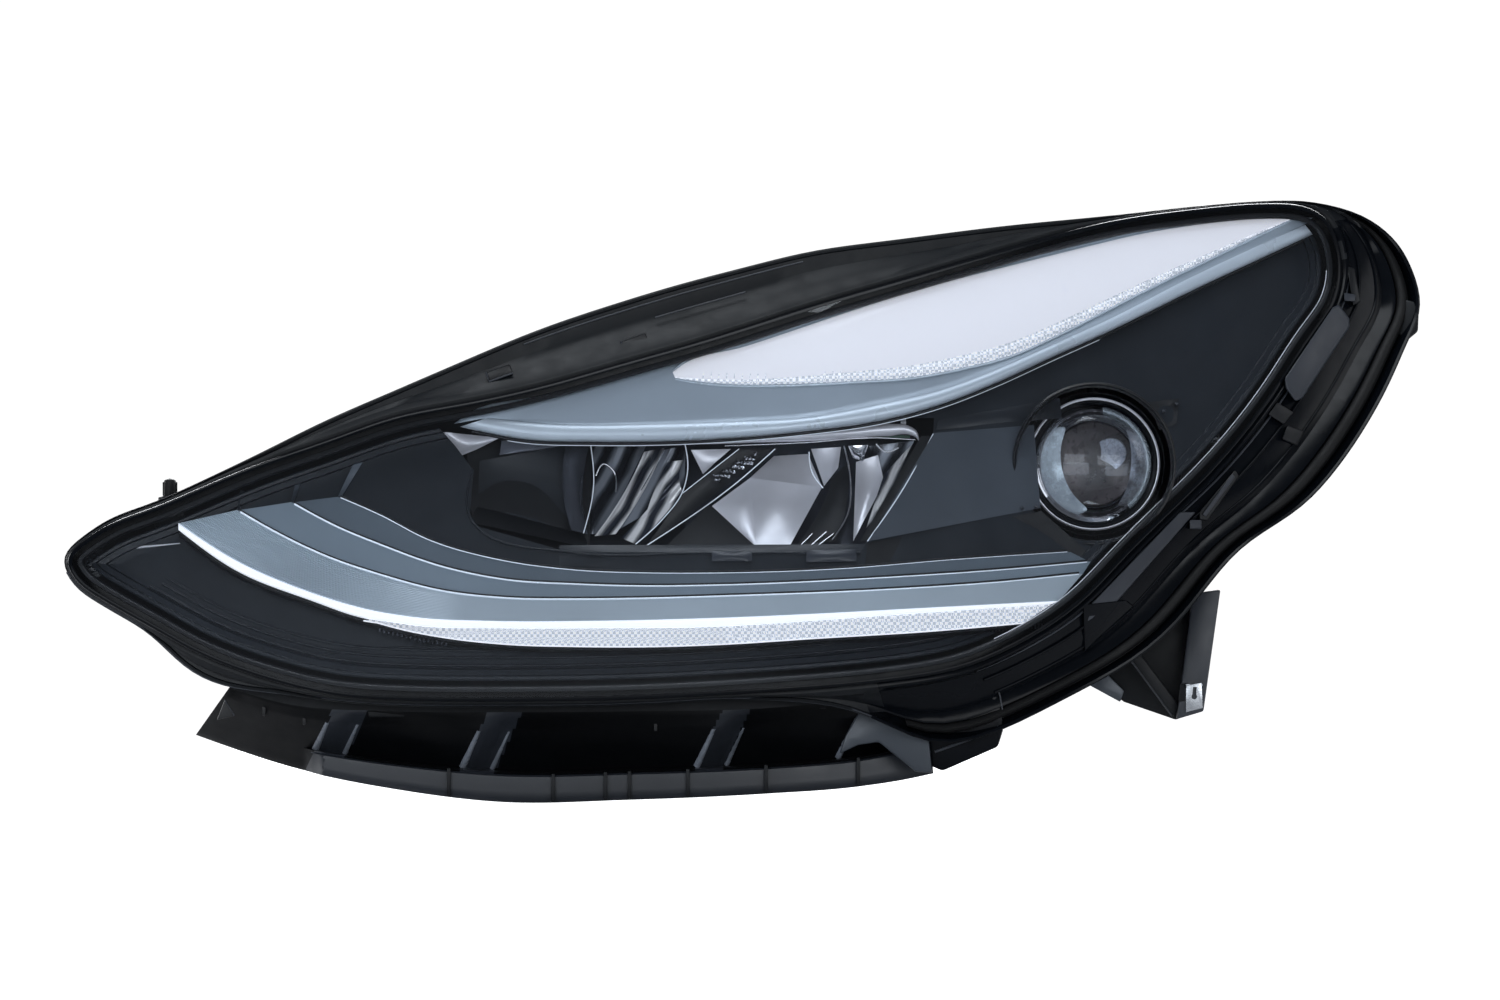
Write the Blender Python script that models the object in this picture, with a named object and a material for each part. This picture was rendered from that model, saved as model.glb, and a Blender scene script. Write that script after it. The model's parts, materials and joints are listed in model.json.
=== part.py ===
"""Car headlight assembly (left-hand lamp), modelled as separate pieces.

Metres, +Z up, -Y is the way the lamp shines, +X is outboard (towards the wing).
Every length below is in millimetres in the drawing frame, and DATUM is the point of
the drawing frame that becomes the origin: the upper mounting ear's pad face.
"""
import math

import bmesh
import bpy
import numpy as np
from mathutils import Vector

MM = 0.001
DATUM = np.array((0.0, 195.0, 106.0))

# ---- driving dimensions (mm) -------------------------------------------------
LENS_WALL = 3.0
SHELL_WALL = 3.0
CHANNEL_DEPTH = 22.0      # lens channel floor behind the lens surface
LENS_SKIRT = 16.0
GAP = 0.35                # clearance kept between neighbouring pieces
N_HALF = 22               # stations along each half of the outline
PROJ = (172.0, 18.0)      # projector axis, x and z
PIVOT_Y, PIVOT_Z = 140.5, 30.0
BACK_MID, BACK_SWING, BACK_SCALE = 195.0, 85.0, 190.0
PORT_R, PORT_WALL = 52.0, 6.0
PORT_END = 284.0
BULB = (60.0, 62.0)
V_SCREW = (20.0, -48.0)
LEVEL = (90.0, -42.0)
H_SCREW = (110.0, 22.0)
CONNECTOR = (-100.0, -30.0)

# Outline stations, clockwise from the inboard tip: lens edge x z, rim edge x z, rear outline x z.
STATIONS = [
    (-340.5, -30.5, -342.5, -30.5, -280, -30),
    (-325, -15.5, -326, -13.5, -280, -22.5),
    (-292.5, -2, -293, 0.5, -269, -14),
    (-245, 18, -246, 22.5, -239, -2.5),
    (-210, 30, -212, 39.5, -207.5, 10),
    (-175, 42.5, -177.5, 54.5, -175, 21),
    (-139.5, 49, -144, 69, -140, 33),
    (-103.5, 57, -108.5, 84, -105, 44),
    (-60, 69.5, -66, 98.5, -62.5, 56),
    (-27.5, 78.5, -33, 108.5, -30, 65),
    (-0.5, 87, -4, 116, -2.5, 73),
    (30, 97, 27.5, 124, 27.5, 82),
    (76, 110.5, 74, 130.5, 72.5, 95),
    (133.5, 127.5, 132, 138, 127.5, 108),
    (178, 139.5, 177, 142.5, 170, 118),
    (225, 146.5, 225, 148, 215, 125),
    (260, 149.5, 262.5, 151, 245, 126),
    (280.5, 148.5, 286, 150.5, 261, 122),
    (290, 144, 304, 146.5, 271, 115),
    (297, 130, 322, 135.5, 276.5, 106),
    (298.5, 112.5, 333.5, 119, 278, 96),
    (295, 98.5, 339, 100, 276.5, 83.5),
    (282.5, 81.5, 330.5, 77.5, 273, 69),
    (261.5, 50, 313.5, 43, 264, 44),
    (244.5, 28.5, 296, 17, 256, 24),
    (228.5, 11, 277.5, -3.5, 244, 2.5),
    (206.5, -10, 247, -22.5, 228, -16),
    (185, -31, 227.5, -45, 209, -32.5),
    (167.5, -50, 211, -65, 187.5, -44),
    (150, -63, 190, -82, 164, -52),
    (129, -74.5, 160, -97.5, 141, -58.5),
    (107, -84, 130, -113, 117.5, -64),
    (82.5, -88.5, 94, -125, 90, -69),
    (57.5, -91.5, 63, -108, 60, -72.5),
    (7.5, -95.5, 9, -99.5, 7.5, -76),
    (-58.5, -99, -58.5, -102, -58.5, -77.5),
    (-125, -100, -125, -103, -125, -75),
    (-174.5, -99.5, -175, -102.5, -170, -70),
    (-208.5, -97, -209.5, -100, -200, -65),
    (-230, -92, -232, -96.5, -220, -60),
    (-256, -84, -261, -93, -240, -53.5),
    (-277.5, -75, -281, -83.5, -255, -47),
    (-294, -65.5, -296, -68.5, -265, -41.5),
    (-320, -51, -321.5, -53, -274, -37),
    (-335, -41, -336.5, -42.5, -278.5, -33.5),
]
OUTER_STATION = 20
# Styling lines seen from the front, x z.
SEAM_3 = [(-204.5, 1), (-184.5, -7.5), (-160, -20), (-124.5, -30), (-87.5, -35), (-50, -36.5), (-15, -36.5), (44, -34.5), (100, -30), (150, -26)]
SEAM_1 = [(-254.5, -4.5), (-236.5, -16), (-207.5, -29.5), (-185, -37), (-152.5, -45.5), (-120, -49), (-87.5, -49.5), (-50, -49), (-15, -48), (72.5, -44.5), (125, -41), (155, -38)]
STRIP_TOP = [(-279.5, -11.5), (-256, -30), (-222.5, -44.5), (-187, -55), (-163.5, -58.5), (-131, -60), (-76.5, -60), (-15, -58.5), (32.5, -56.5), (90, -53.5), (145, -51)]
STRIP_MID = [(-279.5, -13), (-256, -32.5), (-222.5, -47), (-187, -59), (-166.5, -62.5), (-123, -63.5), (-76.5, -63.5), (-15, -63), (32.5, -60), (90, -56), (143, -53)]
STRIP_LOW = [(-279.5, -15), (-256, -34.5), (-217.5, -49.5), (-192, -58), (-169, -64.5), (-152.5, -68), (-120, -71.5), (-87.5, -72.5), (-44, -72.5), (-15, -71.5), (32.5, -68.5), (90, -65), (134, -61.5)]
BLADE_TOP = [(-147.5, 38), (-139.5, 42), (-107.5, 49.5), (-85.5, 55), (-60, 62), (-27.5, 71), (-0.5, 79.5), (30, 89.5), (76, 103), (133.5, 120), (178, 131.5), (225, 138.5), (253, 141), (278, 140.5)]
BLADE_LOW = [(-144.5, 35), (-111, 30), (-79.5, 29), (-34.5, 29.5), (25, 34), (67, 40), (96.5, 48), (122, 58), (152.5, 72), (178, 83.5), (225, 106.5), (256, 121), (281, 132)]
PANEL_TOP = [(-41.5, 62.5), (-33.5, 67.5), (-3, 76.5), (25, 86), (48, 93), (101.5, 108.5), (137, 117.5), (171.5, 126), (195, 131.5), (225.5, 135.5), (252, 138), (272, 138.8)]
PANEL_LOW = [(-40.5, 60.5), (-30, 58.5), (-9, 57.2), (13.5, 57), (56.5, 59), (78.5, 60.5), (106.5, 65.5), (129.5, 71.5), (152.5, 81.5), (178, 94.5), (203.5, 107.5), (225, 118), (252, 131), (273, 137.5)]


# ---- surfaces ------------------------------------------------------------------
def lens_y(x, z):
    """Depth of the outer lens surface: it wraps back outboard and leans back upwards."""
    x, z = np.asarray(x, float), np.asarray(z, float)
    wrap = 0.00095 * np.maximum(0, x + 40) ** 2 + 0.0003 * np.maximum(0, -100 - x) ** 2
    rake = 0.30 * (z + 80) + 0.0009 * np.maximum(0, z + 40) ** 2
    return wrap + rake


def back_y(x):
    return BACK_MID + BACK_SWING * np.tanh(np.asarray(x, float) / BACK_SCALE)


def bezel_y(x, z):
    return lens_y(x, z) + 20.0


# ---- curves --------------------------------------------------------------------
def spread(n, cluster=0.0):
    u = np.linspace(0, 1, n)
    return (1 - cluster) * u + cluster * 0.5 * (1 - np.cos(math.pi * u))


def hermite(P, t, m, q):
    k = np.clip(np.searchsorted(t, q, side="right") - 1, 0, len(t) - 2)
    h = (t[k + 1] - t[k])[:, None]
    s = ((q - t[k]) / (t[k + 1] - t[k]))[:, None]
    return ((2 * s**3 - 3 * s**2 + 1) * P[k] + (s**3 - 2 * s**2 + s) * h * m[k]
            + (-2 * s**3 + 3 * s**2) * P[k + 1] + (s**3 - s**2) * h * m[k + 1])


def path(points, n, cluster=0.0):
    """n points evenly along a smooth open curve through the given points."""
    P = np.array(points, float)
    seg = np.linalg.norm(np.diff(P[:, :2], axis=0), axis=1)
    t = np.concatenate([[0], np.cumsum(seg)])
    d = np.diff(P, axis=0) / seg[:, None]
    m = np.zeros_like(P)
    m[1:-1] = (d[:-1] * seg[1:, None] + d[1:] * seg[:-1, None]) / (seg[:-1] + seg[1:])[:, None]
    m[0], m[-1] = 1.5 * d[0] - 0.5 * m[1], 1.5 * d[-1] - 0.5 * m[-2]
    return hermite(P, t, m, spread(n, cluster) * t[-1])


def outline(half=N_HALF):
    """Closed loop of 2*half stations: lens edge, rim edge and rear outline, tip first."""
    P = np.array(STATIONS + STATIONS[:1], float)
    seg = np.linalg.norm(np.diff(P[:, :2], axis=0), axis=1)
    t = np.concatenate([[0], np.cumsum(seg)])
    d = np.diff(P, axis=0) / seg[:, None]
    before, sb = np.roll(d, 1, axis=0), np.roll(seg, 1)
    m = (before * seg[:, None] + d * sb[:, None]) / (seg + sb)[:, None]
    m = np.vstack([m, m[:1]])
    u = spread(half + 1, 0.55)
    q = np.concatenate([u[:-1] * t[OUTER_STATION],
                        t[OUTER_STATION] + u[:-1] * (t[-1] - t[OUTER_STATION])])
    S = hermite(P, t, m, q)
    return S[:, 0:2], S[:, 2:4], S[:, 4:6]


def inset(ring, dist):
    """The closed clockwise ring moved inwards by dist, in small eased steps."""
    P = np.array(ring, float)
    steps = max(1, int(abs(dist) / 0.8) + 1)
    for _ in range(steps):
        d = np.roll(P, -1, axis=0) - np.roll(P, 1, axis=0)
        d /= np.linalg.norm(d, axis=1)[:, None]
        P = P + np.column_stack([d[:, 1], -d[:, 0]]) * dist / steps
        mean = (np.roll(P, 1, axis=0) + np.roll(P, -1, axis=0)) / 2
        off = mean - P
        along = (off * d).sum(1)[:, None] * d
        P = P + 0.25 * along + 0.02 * off
    return P


def squeeze(A, B, d):
    """Both edge curves moved d closer to each other, and in from their ends."""
    w = B - A
    k = np.minimum(0.45, d / np.maximum(np.linalg.norm(w, axis=1), 1e-6))[:, None]
    return A + w * k, B - w * k


def ring3(xz, y):
    xz = np.asarray(xz, float)
    return np.column_stack([xz[:, 0], np.broadcast_to(y, len(xz)), xz[:, 1]])


# ---- objects -------------------------------------------------------------------
COLOURS = {
    "black_plastic": ((0.018, 0.021, 0.026), 0.45, 0.0),
    "gloss_black": ((0.008, 0.010, 0.013), 0.12, 0.0),
    "satin_blade": ((0.20, 0.24, 0.29), 0.38, 0.6),
    "clear_lens": ((0.85, 0.90, 0.95), 0.03, 0.0),
    "white_panel": ((0.80, 0.82, 0.86), 0.35, 0.0),
    "light_guide": ((0.88, 0.90, 0.94), 0.15, 0.0),
    "chrome": ((0.85, 0.86, 0.88), 0.08, 1.0),
    "glass": ((0.80, 0.86, 0.92), 0.02, 0.0),
    "aluminium": ((0.55, 0.56, 0.58), 0.42, 1.0),
    "steel": ((0.62, 0.64, 0.67), 0.28, 1.0),
    "rubber": ((0.015, 0.015, 0.016), 0.75, 0.0),
    "white_nylon": ((0.75, 0.74, 0.70), 0.5, 0.0),
    "board": ((0.05, 0.16, 0.10), 0.5, 0.0),
}


def material(slot):
    m = bpy.data.materials.get(slot)
    if m is None:
        colour, rough, metal = COLOURS[slot]
        m = bpy.data.materials.new(slot)
        m.use_nodes = True
        b = m.node_tree.nodes["Principled BSDF"]
        b.inputs["Base Color"].default_value = (*colour, 1)
        b.inputs["Roughness"].default_value = rough
        b.inputs["Metallic"].default_value = metal
    return m


def solid(name, verts, faces, slot, pivot=None, weld=True, sharp=32):
    """A mesh object from drawing-frame millimetres, with its origin on pivot."""
    piv = DATUM if pivot is None else np.array(pivot, float)
    me = bpy.data.meshes.new(name)
    me.from_pydata(((np.array(verts, float) - piv) * MM).tolist(), [], [list(f) for f in faces])
    bm = bmesh.new()
    bm.from_mesh(me)
    if weld:
        bmesh.ops.remove_doubles(bm, verts=bm.verts, dist=2e-6)
        bmesh.ops.dissolve_degenerate(bm, edges=bm.edges, dist=1e-6)
    bmesh.ops.recalc_face_normals(bm, faces=bm.faces)
    bm.to_mesh(me)
    bm.free()
    ob = bpy.data.objects.new(name, me)
    bpy.context.scene.collection.objects.link(ob)
    ob.location = (piv - DATUM) * MM
    me.materials.append(material(slot))
    me.shade_smooth()
    me.set_sharp_from_angle(angle=math.radians(sharp))
    return ob


def helper(ob):
    ob.hide_render = True
    ob.display_type = "WIRE"
    return ob


def boolean(ob, other, operation):
    mod = ob.modifiers.new(operation.title(), "BOOLEAN")
    mod.operation, mod.solver, mod.object = operation, "EXACT", other
    helper(other)
    return ob


def join(ob, *others):
    for o in others:
        boolean(ob, o, "UNION")
    return ob


def cut(ob, *others):
    for o in others:
        boolean(ob, o, "DIFFERENCE")
    return ob


def grid(name, A, B, nt, y_front, y_back, slot, t_of=None, **kw):
    """A closed strip between edge curves A and B, front and back faces at given depths."""
    ns = len(A)
    ts = np.linspace(0, 1, nt) if t_of is None else np.asarray(t_of)
    front, back = [], []
    for i in range(ns):
        for t in ts:
            p = A[i] * (1 - t) + B[i] * t
            s = i / (ns - 1)
            front.append((p[0], float(y_front(p[0], p[1], s, t)), p[1]))
            back.append((p[0], float(y_back(p[0], p[1], s, t)), p[1]))
    nt = len(ts)
    n = ns * nt
    F = []
    for i in range(ns - 1):
        for j in range(nt - 1):
            a, b, c, d = i * nt + j, (i + 1) * nt + j, (i + 1) * nt + j + 1, i * nt + j + 1
            F.append((a, b, c, d))
            F.append((n + d, n + c, n + b, n + a))
    edge = ([(i, 0) for i in range(ns)] + [(ns - 1, j) for j in range(1, nt)]
            + [(i, nt - 1) for i in range(ns - 2, -1, -1)] + [(0, j) for j in range(nt - 2, 0, -1)])
    idx = [i * nt + j for i, j in edge]
    for k in range(len(idx)):
        a, b = idx[k], idx[(k + 1) % len(idx)]
        F.append((b, a, n + a, n + b))
    return solid(name, front + back, F, slot, **kw)


def loft(name, rings, slot, cap_first=None, cap_last=None, loop=False, m=4, **kw):
    """Rings of equal count bridged in order. A cap is a ladder across the ring, with depth cap(x, z) or None for straight rungs."""
    V, F = [], []
    n = len(rings[0])
    for r in rings:
        V.extend(map(tuple, r))
    count = len(rings)
    for k in range(count if loop else count - 1):
        a, b = k * n, ((k + 1) % count) * n
        for i in range(n):
            j = (i + 1) % n
            F.append((a + i, a + j, b + j, b + i))
    half = n // 2
    for which, cap in ((0, cap_first), (count - 1, cap_last)):
        if loop or cap is False:
            continue
        base = which * n
        rows = [[base]]
        for i in range(1, half):
            p, q = np.array(V[base + i]), np.array(V[base + n - i])
            row = [base + i]
            for j in range(1, m):
                r = p * (1 - j / m) + q * (j / m)
                if cap is not None:
                    r[1] = float(cap(r[0], r[2]))
                V.append(tuple(r))
                row.append(len(V) - 1)
            row.append(base + n - i)
            rows.append(row)
        rows.append([base + half])
        for r0, r1 in zip(rows, rows[1:]):
            if len(r0) == 1:
                F.extend((r0[0], r1[j], r1[j + 1]) for j in range(m))
            elif len(r1) == 1:
                F.extend((r0[j + 1], r0[j], r1[0]) for j in range(m))
            else:
                F.extend((r0[j], r1[j], r1[j + 1], r0[j + 1]) for j in range(m))
    return solid(name, V, F, slot, **kw)


def box(name, lo, hi, slot="black_plastic", **kw):
    (a, b, c), (d, e, f) = lo, hi
    V = [(a, b, c), (d, b, c), (d, e, c), (a, e, c), (a, b, f), (d, b, f), (d, e, f), (a, e, f)]
    F = [(0, 3, 2, 1), (4, 5, 6, 7), (0, 1, 5, 4), (1, 2, 6, 5), (2, 3, 7, 6), (3, 0, 4, 7)]
    return solid(name, V, F, slot, **kw)


def lathe(name, centre, axis, profile, slot, seg=24, closed=False, turn=0.0, **kw):
    """Profile of (radius, station along axis) turned about the axis through centre; stations are drawing coordinates on that axis."""
    k = "XYZ".index(axis)
    u, v = [(1, 2), (2, 0), (0, 1)][k]
    V = []
    for i in range(seg):
        a = 2 * math.pi * (i + turn) / seg
        for r, h in profile:
            p = [0.0, 0.0, 0.0]
            p[k] = h
            p[u] = centre[u] + r * math.cos(a)
            p[v] = centre[v] + r * math.sin(a)
            V.append(tuple(p))
    n = len(profile)
    F = []
    for i in range(seg):
        j = (i + 1) % seg
        for q in range(n if closed else n - 1):
            w = (q + 1) % n
            F.append((i * n + q, j * n + q, j * n + w, i * n + w))
    return solid(name, V, F, slot, **kw)


def rod(name, centre, axis, a, b, r, slot="black_plastic", seg=20, **kw):
    return lathe(name, centre, axis, [(0, a), (r, a), (r, b), (0, b)], slot, seg, **kw)


def bore(name, centre, axis, a, b, r, seg=20):
    """A round cutter, turned half a facet against the rods it cuts."""
    return lathe(name, centre, axis, [(0, a), (r, a), (r, b), (0, b)], "black_plastic", seg, turn=0.5)


def tube(name, centre, axis, a, b, r0, r1, slot="black_plastic", seg=24, **kw):
    return lathe(name, centre, axis, [(r0, a), (r1, a), (r1, b), (r0, b)], slot, seg, closed=True, **kw)


def prism(name, poly, axis, a, b, slot="black_plastic", **kw):
    """A polygon in the plane across axis, extruded from a to b. Polygon points are in X Y Z order of the two other axes."""
    k = "XYZ".index(axis)
    rest = [i for i in range(3) if i != k]
    V = []
    for h in (a, b):
        for p in poly:
            q = [0.0, 0.0, 0.0]
            q[k], q[rest[0]], q[rest[1]] = h, p[0], p[1]
            V.append(tuple(q))
    n = len(poly)
    F = [tuple(range(n)), tuple(range(2 * n - 1, n - 1, -1))]
    F += [(i, (i + 1) % n, n + (i + 1) % n, n + i) for i in range(n)]
    return solid(name, V, F, slot, **kw)


def on(p, y=0.0):
    """Drawing point from an (x, z) pair and a depth."""
    return (p[0], y, p[1])


for o in list(bpy.data.objects):
    bpy.data.objects.remove(o)

LENS, RIM, REAR = outline()
GAP_W = np.linalg.norm(RIM - LENS, axis=1)
YL = lens_y(LENS[:, 0], LENS[:, 1])
SIDE = np.clip((GAP_W - 4) / 40, 0, 1)
YR = YL + 8 + 0.42 * GAP_W

# ================================================================= housing shell
def toward(t):
    t = np.broadcast_to(t, len(RIM))[:, None]
    return RIM * (1 - t) + LENS * t


lip = toward(np.minimum(0.4, 2.6 / GAP_W))
trough = toward(0.5)
y_trough = (YR + YL + 6) / 2 + 9 * SIDE
wall_at = toward(1 - np.minimum(0.45, 3.0 / GAP_W))
IN1, IN5, IN7 = inset(LENS, 1.0), inset(LENS, 5.2), inset(LENS, 7.6)
REAR_IN = inset(REAR, SHELL_WALL)
YB = back_y(REAR[:, 0])
YBI = YB - SHELL_WALL
y_floor = YL + CHANNEL_DEPTH
shoulder_in = IN7 * 0.2 + REAR_IN * 0.8
shoulder_out = wall_at * 0.2 + REAR * 0.8
d_out = shoulder_out - shoulder_in
gap_s = np.linalg.norm(d_out, axis=1)
shoulder_out = shoulder_in + d_out / gap_s[:, None] * np.maximum(gap_s, SHELL_WALL)[:, None]
y_sh_in = y_floor + 0.20 * (YBI - y_floor)
rings = [
    ring3(REAR_IN * 0.99 + REAR_IN.mean(0) * 0.01, YBI),
    ring3(REAR_IN, YBI - 5),
    ring3(shoulder_in, y_sh_in),
    ring3(IN7, YL + 27),
    ring3(IN7, YL + 12),
    ring3(IN5, YL + 12),
    ring3(IN5, y_floor),
    ring3(IN1, y_floor),
    ring3(IN1, YL + 5),
    ring3(wall_at * 0.4 + IN1 * 0.6, YL + 5),
    ring3(trough, y_trough),
    ring3(lip, YR + 2),
    ring3(lip, YR),
    ring3(RIM, YR),
    ring3(RIM, YR + 9),
    ring3(lip, YR + 9),
    ring3(lip * 0.97 + trough * 0.03, YR + 5),
    ring3(trough, y_trough + 3),
    ring3(wall_at, YL + 9),
    ring3(wall_at, y_floor + 3),
    ring3(inset(LENS, 4.2), YL + 26),
    ring3(shoulder_out, y_sh_in - 1.5),
    ring3(REAR, YB - 6),
    ring3(REAR * 0.985 + REAR.mean(0) * 0.015, YB),
]
housing = loft("housing", rings, "black_plastic",
               cap_first=lambda x, z: back_y(x) - SHELL_WALL, cap_last=lambda x, z: back_y(x), m=4)

ear_top = DATUM[2]
PINX = -289.5
PINY = float(lens_y(PINX, 0)) + 33
join(
    housing,
    box("h_ear", (-20, 178, 58), (24, 212, ear_top)),
    prism("h_ear2", [(268, 56), (312, 62), (320, 72), (320, 88), (312, 96), (268, 100)], "Y", 262, 270),
    rod("h_port", on(PROJ), "Y", 234, PORT_END, PORT_R + PORT_WALL, seg=28),
    rod("h_bulb", on(BULB), "Y", 212, 234, 19, seg=20),
    rod("h_vboss", on(V_SCREW), "Y", 196, 214, 9, seg=16),
    box("h_motor", (76, 207, -54), (102, 240, -31)),
    box("h_pad", (-66, 98, -88), (46, 182, -74)),
    box("h_conn", (CONNECTOR[0] - 26, 146, CONNECTOR[1] - 16), (CONNECTOR[0] + 26, 166, CONNECTOR[1] + 16)),
    rod("h_vent1", (-20, 0, 30), "Y", 182, 196, 7, seg=14),
    rod("h_vent2", (120, 0, 92), "Y", 236, 252, 7, seg=14),
    box("h_post", (-102, 132, 22), (-95.5, 158, 38)),
    rod("h_boss", (0, PIVOT_Y, PIVOT_Z), "X", 229.5, 237, 7, seg=16),
    box("h_boss2", (230, 143, 25), (249, 166, 35)),
    box("h_skirt1", (-190, 40, -103.5), (-172, 62, -74.5)),
    box("h_skirt2", (20, 42, -99.5), (38, 64, -72)),
    box("h_brk", (176, 150, -54), (196, 172, -30)),
    box("h_pin", (-297, PINY - 8, -14), (-282, PINY + 8, -0.5)),
)
cut(
    housing,
    bore("c_port", on(PROJ), "Y", 226, PORT_END + 6, PORT_R, seg=28),
    bore("c_bulb", on(BULB), "Y", 196, 240, 14, seg=24),
    bore("c_vscrew", on(V_SCREW), "Y", 180, 222, 3.4, seg=16),
    bore("c_ear", (12, 195, 0), "Z", 96, 112, 3.6, seg=16),
    box("c_earbox", (-16, 182, 90), (3, 216, 101)),
    bore("c_ear2", (306, 0, 79), "Y", 256, 276, 4.2, seg=16),
    box("c_pin", (-299, PINY - 7.5, -0.5), (-281, PINY + 12, 14)),
    bore("c_pin1", (0, PIVOT_Y, PIVOT_Z), "X", -106, -92, 3.5, seg=14),
    bore("c_pin2", (0, PIVOT_Y, PIVOT_Z), "X", 226, 236, 3.5, seg=14),
    box("c_conn", (CONNECTOR[0] - 21, 130, CONNECTOR[1] - 11), (CONNECTOR[0] + 21, 172, CONNECTOR[1] + 11)),
)

# ================================================================= front lens
top_edge, skirt_out, skirt_in = inset(LENS, 1.2), inset(LENS, 1.5), inset(LENS, 4.6)
outer_lens = loft(
    "outer_lens",
    [
        ring3(top_edge, lens_y(top_edge[:, 0], top_edge[:, 1])),
        ring3(LENS, YL + 1.2),
        ring3(LENS, YL + 4.2),
        ring3(skirt_out, YL + 4.4),
        ring3(skirt_out, YL + LENS_SKIRT + 2),
        ring3(skirt_in, YL + LENS_SKIRT + 2),
        ring3(skirt_in, lens_y(skirt_in[:, 0], skirt_in[:, 1]) + LENS_WALL),
    ],
    "clear_lens",
    cap_first=lambda x, z: lens_y(x, z),
    cap_last=lambda x, z: lens_y(x, z) + LENS_WALL,
    m=5, sharp=50,
)
lens_seal = loft(
    "lens_seal",
    [ring3(inset(LENS, 2.2), YL + 18.5), ring3(inset(LENS, 3.9), YL + 18.5),
     ring3(inset(LENS, 3.9), YL + 21.5), ring3(inset(LENS, 2.2), YL + 21.5)],
    "rubber", loop=True,
)
b_out, b_in = inset(LENS, 5.2), inset(LENS, 9.8)
yb_out, yb_in = lens_y(b_out[:, 0], b_out[:, 1]) + 4.0, lens_y(b_in[:, 0], b_in[:, 1]) + 4.0
lens_border = loft(
    "lens_border",
    [ring3(b_out, yb_out), ring3(b_in, yb_in), ring3(b_in, yb_in + 2), ring3(b_out, yb_out + 2)],
    "gloss_black", loop=True,
)

# rubber seal that lies in the wing-side flange, near the rim
side = [i for i in range(N_HALF - 5, 2 * N_HALF) if GAP_W[i] > 22 and LENS[i, 0] > 100]
s_a = np.array([RIM[i] * 0.80 + LENS[i] * 0.20 for i in side])
s_b = np.array([RIM[i] * 0.66 + LENS[i] * 0.34 for i in side])
y_flange = {i: (YR[i] + 2, y_trough[i]) for i in side}
base_a = np.array([YR[i] + 2 + (y_trough[i] - YR[i] - 2) * 0.35 for i in side])
base_b = np.array([YR[i] + 2 + (y_trough[i] - YR[i] - 2) * 0.63 for i in side])


def along(values):
    return lambda s: float(np.interp(s * (len(values) - 1), range(len(values)), values))


fa, fb = along(base_a), along(base_b)
fender_seal = grid(
    "fender_seal", s_a, s_b, 2,
    lambda x, z, s, t: fa(s) * (1 - t) + fb(s) * t - 7,
    lambda x, z, s, t: fa(s) * (1 - t) + fb(s) * t - 1.2,
    "rubber",
)

# ================================================================= inner trim
bz = inset(LENS, 10.2)
ybz = bezel_y(bz[:, 0], bz[:, 1])
inner_bezel = loft(
    "inner_bezel",
    [ring3(bz, ybz), ring3(bz, ybz + 3)],
    "black_plastic",
    cap_first=lambda x, z: bezel_y(x, z),
    cap_last=lambda x, z: bezel_y(x, z) + 3,
    m=6,
)
wa, wb = squeeze(path(PANEL_TOP, 12), path(PANEL_LOW, 12), 3.5)
wa, wb = wa[1:-2], wb[1:-2]
window = [(-150, 40), (94, 40), (94, 34), (64, -30), (-120, -34), (-150, -20)]
cut(
    inner_bezel,
    prism("c_window", window, "Y", -20, 240),
    bore("c_eye", on(PROJ), "Y", 40, 170, 39, seg=24),
    prism("c_panel", [tuple(p) for p in wa] + [tuple(p) for p in wb[::-1]], "Y", 20, 260),
)

upper_blade = grid(
    "upper_blade", path(BLADE_TOP, 20), path(BLADE_LOW, 20), 3,
    lambda x, z, s, t: lens_y(x, z) + 8.5 + 3 * t,
    lambda x, z, s, t: lens_y(x, z) + 11.5 + 3 * t,
    "satin_blade", t_of=(0, 0.5, 1),
)
cut(upper_blade, prism("c_panel2", [tuple(p) for p in path(PANEL_TOP, 18)] + [tuple(p) for p in path(PANEL_LOW, 18)[::-1]], "Y", -20, 260))


pa, pb = squeeze(path(PANEL_TOP, 18), path(PANEL_LOW, 18), 0.7)
pa, pb = pa[1:-1], pb[1:-1]
upper_light_panel = grid(
    "upper_light_panel", pa, pb, 3,
    lambda x, z, s, t: lens_y(x, z) + 13.5,
    lambda x, z, s, t: lens_y(x, z) + 16.5,
    "white_panel",
)

fin_top, fin_low = path(SEAM_3, 18), path(STRIP_TOP, 18)
FIN_T = (0, 0.30, 0.34, 0.62, 0.66, 1)
FIN_D = (8, 7.3, 4.6, 4.0, 0.8, 0)
stepped_fin = grid(
    "stepped_fin", fin_top, fin_low, 6,
    lambda x, z, s, t: lens_y(x, z) + 7.5 + float(np.interp(t, FIN_T, FIN_D)),
    lambda x, z, s, t: lens_y(x, z) + 10.2 + float(np.interp(t, FIN_T, FIN_D)),
    "satin_blade", t_of=FIN_T,
)
strip_a, strip_b = path(STRIP_TOP, 20), path(STRIP_LOW, 20)
strip_a = strip_a + np.array([0, -0.9])
drl_light_guide = grid(
    "drl_light_guide", strip_a, strip_b, 3,
    lambda x, z, s, t: lens_y(x, z) + 7.0,
    lambda x, z, s, t: lens_y(x, z) + 12.5,
    "light_guide",
)
drl_led_board = grid(
    "drl_led_board", path(STRIP_MID, 26)[9:], path(STRIP_LOW, 26)[9:] + np.array([0, 1.2]), 3,
    lambda x, z, s, t: lens_y(x, z) + 13.6,
    lambda x, z, s, t: lens_y(x, z) + 15.2,
    "board",
)

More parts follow.
